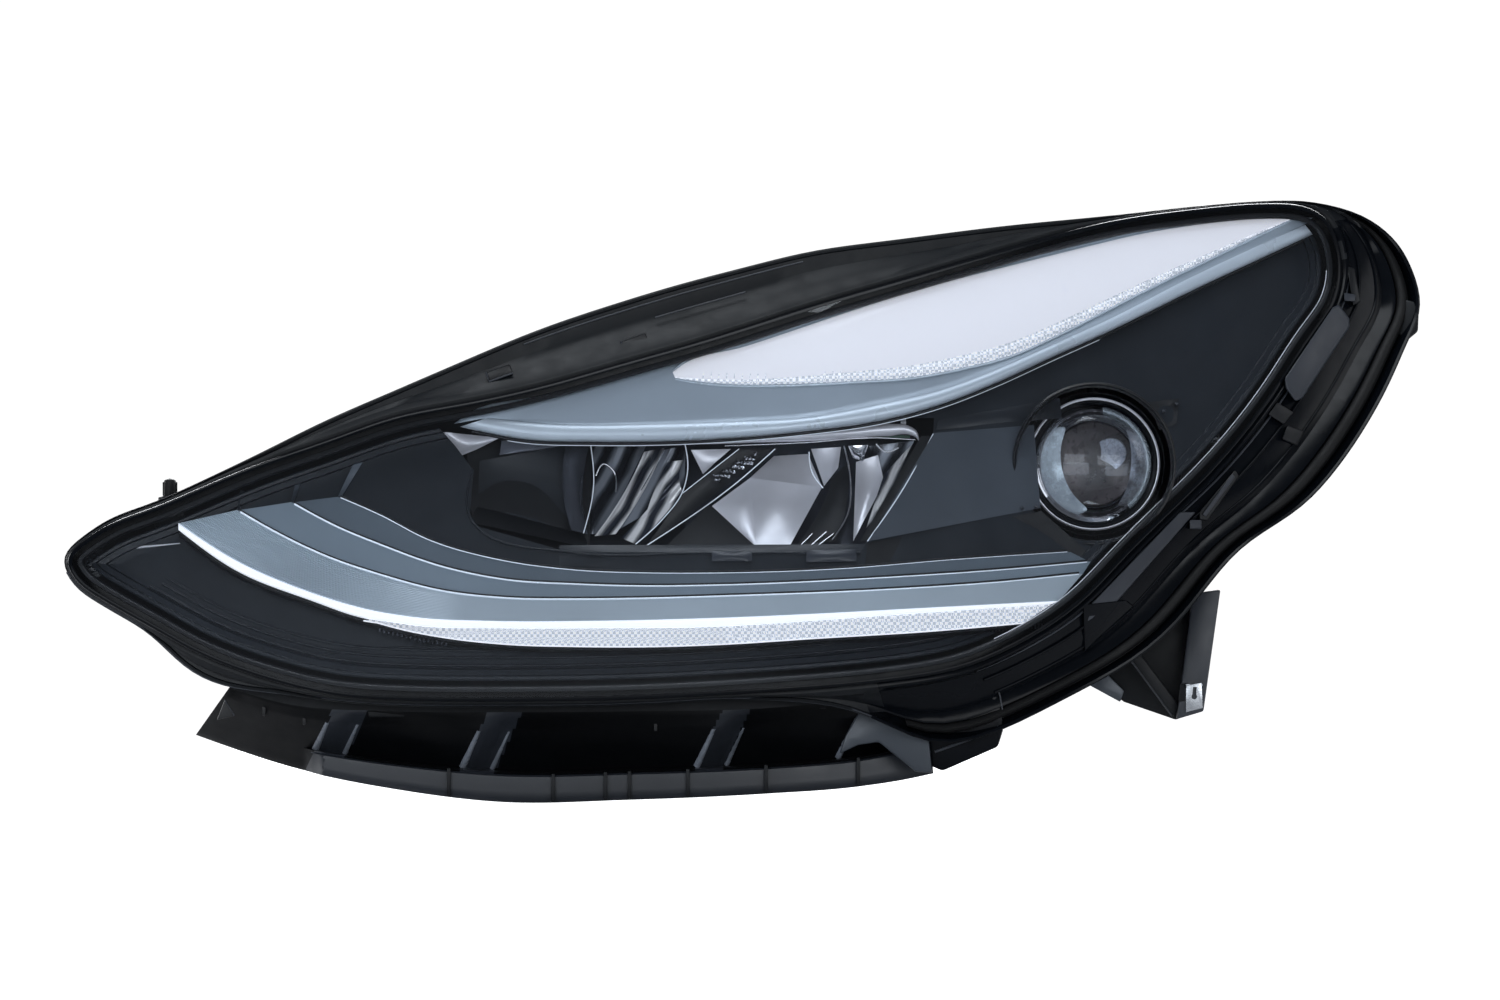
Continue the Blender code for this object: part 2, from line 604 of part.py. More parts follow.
# ================================================================= reflector module
CELLS = {"reflector_inner": (-129.8, -81), "reflector_middle": (-79, -4), "reflector_outer": (-2, 82)}
for cell, (x0, x1) in CELLS.items():
    xc, hw = (x0 + x1) / 2, (x1 - x0) / 2
    depth = 38 if hw > 30 else 30

    def bowl(x, z, off, xc=xc, hw=hw, depth=depth):
        u = min(1.0, abs((x - xc) / hw))
        w = min(1.0, abs((z - 3) / 27))
        return float(bezel_y(x, z)) + 7 + off + depth * (1 - u**2.4) * (1 - w**2.4)

    grid(
        cell,
        np.column_stack([np.linspace(x0, x1, 9), np.full(9, 30.0)]),
        np.column_stack([np.linspace(x0, x1, 9), np.full(9, -24.0)]),
        7,
        lambda x, z, s, t: bowl(x, z, 0),
        lambda x, z, s, t: bowl(x, z, 2.2),
        "chrome", pivot=(0, PIVOT_Y, PIVOT_Z),
    )
fx = np.linspace(-133, 86, 8)
reflector_frame = grid(
    "reflector_frame",
    np.column_stack([fx, np.full(8, 33.0)]),
    np.column_stack([fx, np.full(8, -31.0)]),
    4,
    lambda x, z, s, t: bezel_y(x, z) + 8.2,
    lambda x, z, s, t: bezel_y(x, z) + 17,
    "chrome", pivot=(0, PIVOT_Y, PIVOT_Z),
)
cut(reflector_frame, box("c_rframe", (-130.6, 20, -25.2), (83.2, 120, 31.2)))
join(
    reflector_frame,
    box("r_leg1", (-83.5, 71, 31.8), (-76, 86, 39)),
    box("r_leg4", (-83.5, 80, 33.4), (-76, PIVOT_Y - 2.9, 39)),
    box("r_leg2", (-83.5, 46, -30.8), (-76, PIVOT_Y - 2.9, -26)),
    box("r_leg3", (68, 62, -30.8), (76, PIVOT_Y - 2.9, -26)),
)
reflector_led_board = box("reflector_led_board", (-126, 91, 31.0), (80, 114, 32.4), "board", pivot=(0, PIVOT_Y, PIVOT_Z))
comb = [(-60, 35.2), (-60, 32.9), (78, 32.9), (78, 35.2)]
for k in range(12):
    x = 78 - 11.2 * k
    comb += [(x, 35.2), (x, 42), (x - 2.6, 42), (x - 2.6, 35.2)] if k else [(x, 42), (x - 2.6, 42), (x - 2.6, 35.2)]
reflector_heat_sink = prism("reflector_heat_sink", comb, "Y", 93, 118, "aluminium", pivot=(0, PIVOT_Y, PIVOT_Z))

# ================================================================= aiming frame
PIV = (0, PIVOT_Y, PIVOT_Z)
FRONT, REARF = PIVOT_Y - 2.5, PIVOT_Y + 2.5
aim_frame = box("aim_frame", (-88, FRONT, -36), (130, REARF, 40), "black_plastic", pivot=PIV)
join(
    aim_frame,
    rod("a_ring", on(PROJ), "Y", PIVOT_Y - 6.5, PIVOT_Y + 6.5, 53, seg=24),
    rod("a_lug1", PIV, "X", -92, -84, 7, seg=16),
    rod("a_lug2", PIV, "X", 217, 227.5, 7, seg=16),
    box("a_tab1", (10, FRONT, -58), (30, REARF, -30)),
    box("a_tab2", (80, FRONT - 2, -52), (100, REARF + 3, -30)),
)
cut(
    aim_frame,
    bore("c_aring", on(PROJ), "Y", 120, 160, 45, seg=24),
    bore("c_alug1", PIV, "X", -95, -80, 3.4, seg=14),
    bore("c_alug2", PIV, "X", 213, 230, 3.4, seg=14),
    bore("c_anut", on(V_SCREW), "Y", 130, 152, 6.5, seg=16),
    bore("c_asocket", on(LEVEL), "Y", 130, 152, 5.2, seg=16),
    bore("c_ahs", on(H_SCREW), "Y", 130, 152, 3.5, seg=14),
    bore("c_tr", on(PROJ, PIVOT_Y), "Z", -40, 76, 3.4, seg=14),
    box("c_w1", (-74, 130, -24), (-8, 152, 28)),
    box("c_w2", (2, 130, -24), (66, 152, 28)),
)
pivot_pin_inner = lathe("pivot_pin_inner", PIV, "X", [(0, -101.5), (3, -101.5), (3, -83.5), (0, -83.5)], "steel", 14)
pivot_pin_outer = lathe("pivot_pin_outer", PIV, "X", [(0, 218), (3, 218), (3, 235.6), (0, 235.6)], "steel", 14)
vertical_aim_nut = lathe("vertical_aim_nut", on(V_SCREW), "Y", [(3.8, 132), (9, 132), (9, 137.6), (6, 137.6), (6, 148), (3.8, 148)], "white_nylon", 16, closed=True, pivot=PIV)
vertical_aim_screw = lathe("vertical_aim_screw", on(V_SCREW), "Y", [(0, 116), (3, 116), (3, 214.4), (8, 214.4), (8, 218), (4.6, 218), (4.6, 226), (0, 226)], "steel", 16, pivot=on(V_SCREW, 214))
level_motor = box("level_motor", (72, 174, -58), (106, 206.6, -27), "black_plastic")
join(level_motor, rod("m_nose", on(LEVEL), "Y", 164, 178, 11, seg=18), box("m_plug", (78, 182, -28), (100, 200, -19)))
cut(level_motor, bore("c_nose", on(LEVEL), "Y", 160, 203, 4.4, seg=16), box("c_mplug", (81, 185, -25), (97, 197, -15)))
level_plunger = lathe("level_plunger", on(LEVEL), "Y",
                      [(0, 136), (2.6, 136.8), (4.0, 138.3), (4.5, 140.5), (4.0, 142.7), (2.6, 144.4), (2.2, 146), (2.2, 152), (3.8, 154), (3.8, 194), (0, 194)],
                      "white_nylon", 12, pivot=on(LEVEL, PIVOT_Y))

# ================================================================= projector
PV = on(PROJ, PIVOT_Y)
front = [(0, 92.0)] + [(29 * math.sin(a), 92 + 32.4 * (1 - math.sqrt(1 - (29 * math.sin(a) / 32.4) ** 2))) for a in np.radians([14, 28, 44, 62, 90])]
projector_lens = lathe("projector_lens", PV, "Y", front + [(29, 113), (0, 113)], "glass", 24, pivot=PV, sharp=60)
projector_lens_ring = lathe("projector_lens_ring", PV, "Y", [(29.4, 106), (33.5, 106), (34.5, 118), (26, 118), (26, 113.4), (29.4, 113.4)], "chrome", 24, closed=True, pivot=PV)
projector_barrel = lathe("projector_barrel", PV, "Y",
                         [(31, 118.4), (36, 118.4), (36, 150), (41, 166), (41, 170), (35.5, 170), (31, 152)],
                         "black_plastic", 24, closed=True, pivot=PV)
join(
    projector_barrel,
    rod("b_tr1", PV, "Z", 18 + 33, 18 + 49, 3, seg=12),
    rod("b_tr2", PV, "Z", 18 - 49, 18 - 33, 3, seg=12),
    box("b_arm", (101, 156, 14), (140, 162, 30)),
)
cut(projector_barrel, bore("c_hnut", on(H_SCREW), "Y", 150, 170, 6.5, seg=14))
horizontal_aim_nut = lathe("horizontal_aim_nut", on(H_SCREW), "Y", [(4.3, 152), (8, 152), (8, 155.6), (6, 155.6), (6, 166), (4.3, 166)], "white_nylon", 16, closed=True, pivot=PV)
horizontal_aim_screw = lathe("horizontal_aim_screw", on(H_SCREW), "Y", [(0, 128), (2.8, 128), (2.8, 143.4), (5.5, 143.4), (5.5, 146.5), (2.5, 146.5), (2.5, 180), (4.5, 180), (4.5, 187), (0, 187)], "steel", 14, pivot=on(H_SCREW, 140))
projector_reflector = lathe("projector_reflector", PV, "Y",
                            [(35.5, 170.4), (40, 170.4), (40, 173), (38, 181), (30, 194), (18, 203), (9, 205.6), (7, 203.6), (16.8, 200.8), (28, 192), (35, 180)],
                            "chrome", 24, closed=True, pivot=PV)
SHUT = (PROJ[0], 160.0, PROJ[1] - 22)
shutter_shaft = rod("shutter_shaft", SHUT, "X", PROJ[0] - 22.4, PROJ[0] + 22.4, 1.5, "steel", 12, pivot=PV)
shutter_flap = box("shutter_flap", (PROJ[0] - 20, 159.3, -2), (PROJ[0] + 20, 160.7, 17), "steel", pivot=SHUT)
join(shutter_flap, rod("f_hem", SHUT, "X", PROJ[0] - 20, PROJ[0] + 20, 3, seg=14))
cut(shutter_flap, bore("c_hem", SHUT, "X", PROJ[0] - 24, PROJ[0] + 24, 1.9, seg=12))
SOL = (126.0, 165.0, -16.0)
shutter_solenoid = tube("shutter_solenoid", SOL, "Y", 152, 178, 2.8, 8, "steel", 18, pivot=PV)
solenoid_plunger = lathe("solenoid_plunger", SOL, "Y", [(0, 156), (2.4, 156), (2.4, 182), (3.6, 182), (3.6, 185), (0, 185)], "steel", 14, pivot=SOL)
projector_led_board = box("projector_led_board", (150, 206.2, -4), (194, 208.2, 40), "board", pivot=PV)
x0, z0, z1 = PROJ[0] - 30, PROJ[1] - 30, PROJ[1] + 30
fins = [(x0, 208.6), (x0 + 60, 208.6)]
for k in range(9):
    x = x0 + 60 - k * 7.2
    fins += [(x, 236), (x - 2.4, 236), (x - 2.4, 213)] + ([(x - 7.2, 213)] if k < 8 else [])
fins = fins[:-1]
projector_heat_sink = prism("projector_heat_sink", fins, "Z", z0, z1, "aluminium", pivot=PV)
fan_frame = box("fan_frame", (x0, 236.4, z0), (x0 + 60, 248, z1), "black_plastic", pivot=PV)
cut(fan_frame, bore("c_fan", PV, "Y", 230, 252, 27.5, seg=22))
join(fan_frame, rod("n_hub", PV, "Y", 245.5, 248, 9, seg=18), box("n_s1", (170.5, 245.5, -11), (173.5, 248, 47)), box("n_s2", (143, 245.5, 16.5), (201, 248, 19.5)))
blades = []
for k in range(7):
    a0 = 2 * math.pi * k / 7
    blades += [(PROJ[0] + r * math.cos(a0 + b), PROJ[1] + r * math.sin(a0 + b))
               for r, b in ((9.5, -0.05), (25.5, 0.22), (26, 0.5), (25, 0.62), (9.5, 0.42), (9.5, 0.66))]
fan_rotor = prism("fan_rotor", blades, "Y", 237.6, 244.6, "black_plastic", pivot=on(PROJ, 241))

# ================================================================= turn lamp
turn_reflector = lathe("turn_reflector", on(BULB), "Y",
                       [(20.4, 152), (22, 152), (21.6, 170), (18, 188), (12.5, 197), (10.5, 195.4), (16.2, 186.6), (20, 169.4)],
                       "chrome", 20, closed=True)
bulb_socket_seal = tube("bulb_socket_seal", on(BULB), "Y", 234.35, 236.2, 14.6, 18.4, "rubber", 24, pivot=on(BULB, 235))
bulb_socket = lathe("bulb_socket", on(BULB), "Y", [(0, 214), (9, 214), (9, 216), (13.4, 216), (13.4, 236.5), (20, 236.5), (20, 240), (14, 240), (14, 252), (0, 252)], "black_plastic", 24, pivot=on(BULB, 236))
join(bulb_socket, box("s_grip", (BULB[0] - 22, 239, BULB[1] - 3), (BULB[0] + 22, 250, BULB[1] + 3)))
cut(bulb_socket, box("c_sock", (BULB[0] - 8, 246, BULB[1] - 5), (BULB[0] + 8, 256, BULB[1] + 5)))
turn_bulb = lathe("turn_bulb", on(BULB), "Y", [(0, 170), (4, 171), (7.4, 175), (8.6, 181), (8, 190), (6, 198), (5.6, 213.6), (0, 213.6)], "glass", 18, pivot=on(BULB, 200))

# ================================================================= rear cover
service_cap_gasket = tube("service_cap_gasket", PV, "Y", PORT_END + 0.35, PORT_END + 2.4, 51, 57.5, "rubber", 28, pivot=on(PROJ, PORT_END))
service_cap = lathe("service_cap", PV, "Y", [(0, 287), (46, 287), (46, 272), (50, 272), (50, 286.75), (60, 286.75), (60, 290), (57, 293), (34, 293), (31, 296), (0, 296)], "black_plastic", 28, pivot=on(PROJ, PORT_END))
join(service_cap, box("s_bar", (PROJ[0] - 40, 290, PROJ[1] - 4), (PROJ[0] + 40, 304, PROJ[1] + 4)),
     box("s_bar2", (PROJ[0] - 4, 290, PROJ[1] - 26), (PROJ[0] + 4, 300, PROJ[1] + 26)))

# ================================================================= electrics
control_unit_gasket = box("control_unit_gasket", (-62, 102, -89.8), (42, 178, -88.35), "rubber")
cut(control_unit_gasket, box("c_cug", (-57, 107, -95), (37, 173, -85)))
control_unit = box("control_unit", (-62, 102, -112), (42, 178, -90.1), "aluminium")
join(control_unit, box("u_plug", (-40, 176, -110), (8, 196, -93)), *[box(f"u_f{k}", (-56 + 12 * k, 108, -116), (-53 + 12 * k, 172, -111)) for k in range(8)])
cut(control_unit, box("c_uplug", (-37, 182, -107), (5, 200, -96)))
cx, cz = CONNECTOR
main_connector = box("main_connector", (cx - 24, 166.4, cz - 14), (cx + 24, 170, cz + 14), "black_plastic")
join(main_connector, box("k_body", (cx - 20, 148, cz - 10), (cx + 20, 192, cz + 10)), box("k_key", (cx - 5, 172, cz + 9), (cx + 5, 188, cz + 12.5)))
cut(main_connector, box("c_kb", (cx - 17.5, 168, cz - 7.5), (cx + 17.5, 196, cz + 7.5)))
join(main_connector, *[box(f"k_p{k}", (cx - 14.4 + 5.6 * k, 164, cz - 3), (cx - 13.6 + 5.6 * k, 182, cz - 2.2)) for k in range(6)])
vent_cap_inner = lathe("vent_cap_inner", (-20, 0, 30), "Y", [(0, 196.4), (7.5, 196.4), (9.5, 198), (9.5, 206), (7, 208), (0, 208)], "rubber", 16)
vent_cap_outer = lathe("vent_cap_outer", (120, 0, 92), "Y", [(0, 252.4), (7.5, 252.4), (9.5, 254), (9.5, 262), (7, 264), (0, 264)], "rubber", 16)

# ================================================================= outside brackets
SK_TOP = [(-259, -93), (-230, -101), (-180, -104.5), (-125, -105), (-58.5, -104.5), (7.5, -103), (50, -99), (82, -94), (88, -96)]
SK_LOW = [(-277, -117.5), (-227, -134), (-175, -144.5), (-125, -150.5), (-60, -149.5), (7.5, -146.5), (54, -143), (80, -139), (91.5, -136.5)]
SK_T = (0, 0.30, 0.62, 0.70, 1)
ends = path(SK_TOP, 30), path(SK_LOW, 30)


def ramp(x, z, s, t):
    x_line = x + 0.30 * (z + 100)                       # the pleats lean, so they follow this
    pleat = 4.5 * math.tanh(6 * math.sin((x_line + 215) / 74 * 2 * math.pi))
    fade = min(1.0, t / 0.25) * (1 if t < 0.66 else 0)
    base = lens_y(x, -96) + 34
    return base + (30 * min(t, 0.66) / 0.66 if t < 0.66 else 14) + pleat * fade


lower_skirt = grid("lower_skirt", ends[0], ends[1], 5, ramp, lambda x, z, s, t: ramp(x, z, s, t) + 2.8, "black_plastic", t_of=SK_T)
join(
    lower_skirt,
    box("k_tab1", (-190, 34, -108), (-172, 62, -103.9)),
    box("k_tab2", (20, 37, -104), (38, 64, -99.9)),
    *[box(f"k_rib{k}", (x - 1, 44 + 0, z), (x + 1, 64, z + 14)) for k, (x, z) in enumerate(((-150, -147), (-98, -150), (-31, -149), (54, -142)))],
)
skirt_screws = [
    lathe(f"skirt_screw_{n}", (x, y, 0), "Z", [(0, z), (5, z), (5, z - 3), (2.5, z - 4), (0, z - 4)], "steel", 14)
    for n, x, y, z in (("inner", -181, 55, -108.35), ("outer", 29, 57, -104.35))
]

BR = [(176, -48), (198, -36), (214, -28), (231, -38), (236, -45), (230.5, -83), (227.5, -106), (214, -110.5), (188, -101.5), (170, -90)]
side_bracket = prism("side_bracket", [(176, -55), (200, -55), (236, -47), (230.5, -83), (227.5, -105), (214, -110.5), (188, -101.5), (172, -90)], "Y", 150, 154, "black_plastic")
join(
    side_bracket,
    box("g_foot", (174, 151, -58), (196, 178, -54.4)),
    prism("g_wall", [(222, -47), (236, -45), (227.5, -106), (214, -110)], "Y", 128, 156),
    prism("g_rib", [(174, -58), (180, -56), (216, -104), (212, -109)], "Y", 136, 152),
)
cut(side_bracket, box("c_clip", (213, 120, -101), (219.5, 146, -92)))
clip_nut = box("clip_nut", (218.6, 126.2, -106.5), (227.0, 127.6, -91.5), "steel")
cut(clip_nut, prism("c_slot", [(221.4, -101), (224, -101), (224.4, -94), (221.8, -94)], "Y", 120, 132))
bumper_stop = lathe("bumper_stop", (0, 139, -87.5), "X", [(0, 217.2), (4, 217.2), (5.2, 219), (5.2, 221), (4.2, 222), (5.2, 223), (5.2, 227), (4, 229), (0, 229)], "rubber", 12)
cut(side_bracket, bore("c_stop", (0, 139, -87.5), "X", 212, 236, 6, seg=16))
side_screw = lathe("bracket_screw", (185, 160, 0), "Z", [(0, -58.3), (5, -58.3), (5, -61.5), (2.5, -62.5), (0, -62.5)], "steel", 14)
locating_pin = lathe("locating_pin", (PINX, PINY, 0), "Z", [(0, -0.1), (6, -0.1), (6, 1.4), (3.4, 2), (3.9, 3), (3.9, 8), (2.8, 10), (0, 10.8)], "rubber", 16)
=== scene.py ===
import json
import math

import bmesh
import bpy
import numpy as np
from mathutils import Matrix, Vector


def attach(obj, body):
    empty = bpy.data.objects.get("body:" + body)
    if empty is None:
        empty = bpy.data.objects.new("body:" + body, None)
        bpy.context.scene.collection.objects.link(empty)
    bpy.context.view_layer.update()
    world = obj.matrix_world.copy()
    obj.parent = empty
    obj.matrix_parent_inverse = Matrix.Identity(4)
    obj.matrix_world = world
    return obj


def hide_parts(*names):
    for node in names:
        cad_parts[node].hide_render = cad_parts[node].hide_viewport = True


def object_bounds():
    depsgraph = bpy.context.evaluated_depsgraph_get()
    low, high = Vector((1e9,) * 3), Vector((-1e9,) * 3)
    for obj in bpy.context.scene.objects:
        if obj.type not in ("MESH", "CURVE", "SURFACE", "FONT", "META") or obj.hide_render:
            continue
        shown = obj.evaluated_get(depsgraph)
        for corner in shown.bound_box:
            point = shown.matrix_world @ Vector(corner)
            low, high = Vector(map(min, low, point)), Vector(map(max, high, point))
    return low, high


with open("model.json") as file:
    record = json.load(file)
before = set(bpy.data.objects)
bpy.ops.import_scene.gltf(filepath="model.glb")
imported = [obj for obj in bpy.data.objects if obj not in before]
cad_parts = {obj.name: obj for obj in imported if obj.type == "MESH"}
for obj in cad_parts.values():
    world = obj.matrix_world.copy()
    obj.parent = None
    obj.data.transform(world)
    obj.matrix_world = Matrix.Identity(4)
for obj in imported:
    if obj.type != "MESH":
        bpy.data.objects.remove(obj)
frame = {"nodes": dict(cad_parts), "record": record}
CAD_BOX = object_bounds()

BODY = "lamp_body"
AIM = "aiming_carrier"
PROJECTOR = "projector_module"
MM = 0.001
DATUM = np.array((0.0, 195.0, 106.0))
HALF = 120

# ============================================================ shape data, drawing mm (x, z)
STATIONS = [
    (-340.5, -30.5, -342.5, -30.5, -280, -30),
    (-325, -15.5, -326, -13.5, -280, -22.5),
    (-292.5, -2, -293, 0.5, -269, -14),
    (-245, 18, -246, 22.5, -239, -2.5),
    (-210, 30, -212, 39.5, -207.5, 10),
    (-175, 42.5, -177.5, 54.5, -175, 21),
    (-139.5, 49, -144, 69, -140, 33),
    (-103.5, 57, -108.5, 84, -105, 44),
    (-60, 69.5, -66, 98.5, -62.5, 56),
    (-27.5, 78.5, -33, 108.5, -30, 65),
    (-0.5, 87, -4, 116, -2.5, 73),
    (30, 97, 27.5, 124, 27.5, 82),
    (76, 110.5, 74, 130.5, 72.5, 95),
    (133.5, 127.5, 132, 138, 127.5, 108),
    (178, 139.5, 177, 142.5, 170, 118),
    (225, 146.5, 225, 148, 215, 125),
    (260, 149.5, 262.5, 151, 245, 126),
    (280.5, 148.5, 286, 150.5, 261, 122),
    (290, 144, 304, 146.5, 271, 115),
    (297, 130, 322, 135.5, 276.5, 106),
    (298.5, 112.5, 333.5, 119, 278, 96),
    (295, 98.5, 339, 100, 276.5, 83.5),
    (282.5, 81.5, 330.5, 77.5, 273, 69),
    (261.5, 50, 313.5, 43, 264, 44),
    (244.5, 28.5, 296, 17, 256, 24),
    (228.5, 11, 277.5, -3.5, 244, 2.5),
    (206.5, -10, 247, -22.5, 228, -16),
    (185, -31, 227.5, -45, 209, -32.5),
    (167.5, -50, 211, -65, 187.5, -44),
    (150, -63, 190, -82, 164, -52),
    (129, -74.5, 160, -97.5, 141, -58.5),
    (107, -84, 130, -113, 117.5, -64),
    (82.5, -88.5, 94, -125, 90, -69),
    (57.5, -91.5, 63, -108, 60, -72.5),
    (7.5, -95.5, 9, -99.5, 7.5, -76),
    (-58.5, -99, -58.5, -102, -58.5, -77.5),
    (-125, -100, -125, -103, -125, -75),
    (-174.5, -99.5, -175, -102.5, -170, -70),
    (-208.5, -97, -209.5, -100, -200, -65),
    (-230, -92, -232, -96.5, -220, -60),
    (-256, -84, -261, -93, -240, -53.5),
    (-277.5, -75, -281, -83.5, -255, -47),
    (-294, -65.5, -296, -68.5, -265, -41.5),
    (-320, -51, -321.5, -53, -274, -37),
    (-335, -41, -336.5, -42.5, -278.5, -33.5),
]
OUTER_STATION = 20
SEAM_3 = [(-205.5, 1.6), (-184.5, -7.5), (-160, -20), (-124.5, -30), (-87.5, -35), (-50, -36.5), (-15, -36.5), (44, -34.5), (100, -30), (160, -26)]
SEAM_2 = [(-228.5, -1.3), (-204.5, -14), (-185, -22), (-152.5, -33.5), (-120, -40), (-87.5, -42), (-50, -43), (-15, -42.5), (72.5, -38.5), (125, -35), (170, -31)]
SEAM_1 = [(-255.4, -5.2), (-236.5, -16), (-207.5, -29.5), (-185, -37), (-152.5, -45.5), (-120, -49), (-87.5, -49.5), (-50, -49), (-15, -48), (72.5, -44.5), (125, -41), (166, -37)]
STRIP_TOP = [(-284.6, -11.6), (-256, -30), (-222.5, -44.5), (-187, -55), (-163.5, -58.5), (-131, -60), (-76.5, -60), (-15, -58.5), (32.5, -56.5), (90, -53.5), (154, -50.3)]
STRIP_MID = [(-285, -13.4), (-256, -32.7), (-222.5, -47.2), (-187, -59), (-166.5, -62.5), (-123, -63.8), (-76.5, -63.8), (-15, -63), (32.5, -60), (90, -56), (150, -52)]
STRIP_LOW = [(-284.5, -15), (-256, -35), (-217.5, -50.3), (-192, -58.8), (-169, -65), (-152.5, -68), (-120, -71.5), (-87.5, -72.5), (-44, -72.5), (-15, -71.5), (32.5, -68.5), (90, -65), (137, -61)]
BLADE_TOP = [(-147.5, 38), (-139.5, 44), (-107.5, 51.5), (-85.5, 56.5), (-60, 64), (-27.5, 73), (-0.5, 81.5), (30, 91.5), (76, 105.5), (133.5, 122.8), (178, 134.5), (225, 141.5), (253, 144), (284, 142.5)]
BLADE_MID = [(-130.5, 41), (-98.5, 38), (-47.5, 38), (-5, 39.5), (25, 41), (67, 48.5), (96.5, 55.5), (122, 65), (152.5, 78.5), (178, 90), (225, 114), (256, 128.5), (280, 139)]
BLADE_LOW = [(-144.5, 36.5), (-111, 30), (-79.5, 29), (-34.5, 29.5), (25, 34), (67, 40), (96.5, 48), (122, 58), (152.5, 72), (178, 83.5), (225, 106.5), (256, 121), (284, 134)]
PANEL_TOP = [(-41.5, 62), (-33.5, 68.5), (-3, 77.5), (25, 87), (48, 95), (101.5, 111.5), (137, 120.5), (171.5, 129), (195, 134.5), (225.5, 139.5), (256, 142.5), (276, 143.8)]
PANEL_LOW = [(-40.5, 61), (-30, 59), (-9, 57), (13.5, 57), (56.5, 59), (78.5, 60.5), (106.5, 65.5), (129.5, 71.5), (152.5, 81.5), (178, 94.5), (203.5, 107.5), (225, 118), (256, 133), (277, 142.8)]
PROJ = (172.0, 18.0)
PIVOT_Y, PIVOT_Z = 140.5, 30.0
BULB = (60.0, 62.0)
PORT_END = 284.0
V_SCREW = (20.0, -48.0)
CONNECTOR = (-100.0, -30.0)


def lens_y(x, z):
    x, z = np.asarray(x, float), np.asarray(z, float)
    wrap = 0.00095 * np.maximum(0, x + 40) ** 2 + 0.0003 * np.maximum(0, -100 - x) ** 2
    return wrap + 0.30 * (z + 80) + 0.0009 * np.maximum(0, z + 40) ** 2


def back_y(x):
    return 195 + 85 * np.tanh(np.asarray(x, float) / 190)


def bezel_y(x, z):
    return lens_y(x, z) + 20.0


# ============================================================ curves
def hermite(P, t, m, q):
    k = np.clip(np.searchsorted(t, q, side="right") - 1, 0, len(t) - 2)
    h = (t[k + 1] - t[k])[:, None]
    s = ((q - t[k]) / (t[k + 1] - t[k]))[:, None]
    return ((2 * s**3 - 3 * s**2 + 1) * P[k] + (s**3 - 2 * s**2 + s) * h * m[k]
            + (-2 * s**3 + 3 * s**2) * P[k + 1] + (s**3 - s**2) * h * m[k + 1])


def path(points, n, soft=0):
    P = np.array(points, float)
    seg = np.linalg.norm(np.diff(P, axis=0), axis=1)
    t = np.concatenate([[0], np.cumsum(seg)])
    d = np.diff(P, axis=0) / seg[:, None]
    m = np.zeros_like(P)
    m[1:-1] = (d[:-1] * seg[1:, None] + d[1:] * seg[:-1, None]) / (seg[:-1] + seg[1:])[:, None]
    m[0], m[-1] = 1.5 * d[0] - 0.5 * m[1], 1.5 * d[-1] - 0.5 * m[-2]
    Q = hermite(P, t, m, np.linspace(0, t[-1], n))
    for _ in range(soft):
        Q[1:-1] += 0.5 * ((Q[:-2] + Q[2:]) / 2 - Q[1:-1])
    return Q


def spread(n, cluster):
    u = np.linspace(0, 1, n)
    return (1 - cluster) * u + cluster * 0.5 * (1 - np.cos(math.pi * u))


def outline(half, soft=4):
    P = np.array(STATIONS + STATIONS[:1], float)
    seg = np.linalg.norm(np.diff(P[:, :2], axis=0), axis=1)
    t = np.concatenate([[0], np.cumsum(seg)])
    d = np.diff(P, axis=0) / seg[:, None]
    before, sb = np.roll(d, 1, axis=0), np.roll(seg, 1)
    m = (before * seg[:, None] + d * sb[:, None]) / (seg + sb)[:, None]
    m = np.vstack([m, m[:1]])
    u = spread(half + 1, 0.55)
    q = np.concatenate([u[:-1] * t[OUTER_STATION], t[OUTER_STATION] + u[:-1] * (t[-1] - t[OUTER_STATION])])
    S = hermite(P, t, m, q)
    for _ in range(soft):
        S = S + 0.5 * ((np.roll(S, 1, axis=0) + np.roll(S, -1, axis=0)) / 2 - S)
    return S[:, 0:2], S[:, 2:4], S[:, 4:6]


def inset(ring, dist):
    P = np.array(ring, float)
    steps = max(1, int(abs(dist) / 0.6) + 1)
    for _ in range(steps):
        d = np.roll(P, -1, axis=0) - np.roll(P, 1, axis=0)
        d /= np.linalg.norm(d, axis=1)[:, None]
        P = P + np.column_stack([d[:, 1], -d[:, 0]]) * dist / steps
        mean = (np.roll(P, 1, axis=0) + np.roll(P, -1, axis=0)) / 2
        off = mean - P
        along = (off * d).sum(1)[:, None] * d
        P = P + 0.3 * along + 0.05 * off
    return P


def ring3(xz, y):
    xz = np.asarray(xz, float)
    return np.column_stack([xz[:, 0], np.broadcast_to(y, len(xz)), xz[:, 1]])


# ============================================================ materials
def nodes_of(name):
    m = bpy.data.materials.new(name)
    m.use_nodes = True
    nt = m.node_tree
    nt.nodes.clear()
    out = nt.nodes.new("ShaderNodeOutputMaterial")
    return m, nt, out


def noise(nt, scale, detail=3.0, rough=0.5, stretch=None):
    tc = nt.nodes.new("ShaderNodeTexCoord")
    n = nt.nodes.new("ShaderNodeTexNoise")
    n.inputs["Scale"].default_value = scale
    n.inputs["Detail"].default_value = detail
    n.inputs["Roughness"].default_value = rough
    src = tc.outputs["Object"]
    if stretch:
        mp = nt.nodes.new("ShaderNodeMapping")
        mp.inputs["Scale"].default_value = stretch
        nt.links.new(src, mp.inputs["Vector"])
        src = mp.outputs["Vector"]
    nt.links.new(src, n.inputs["Vector"])
    return n.outputs["Fac"]


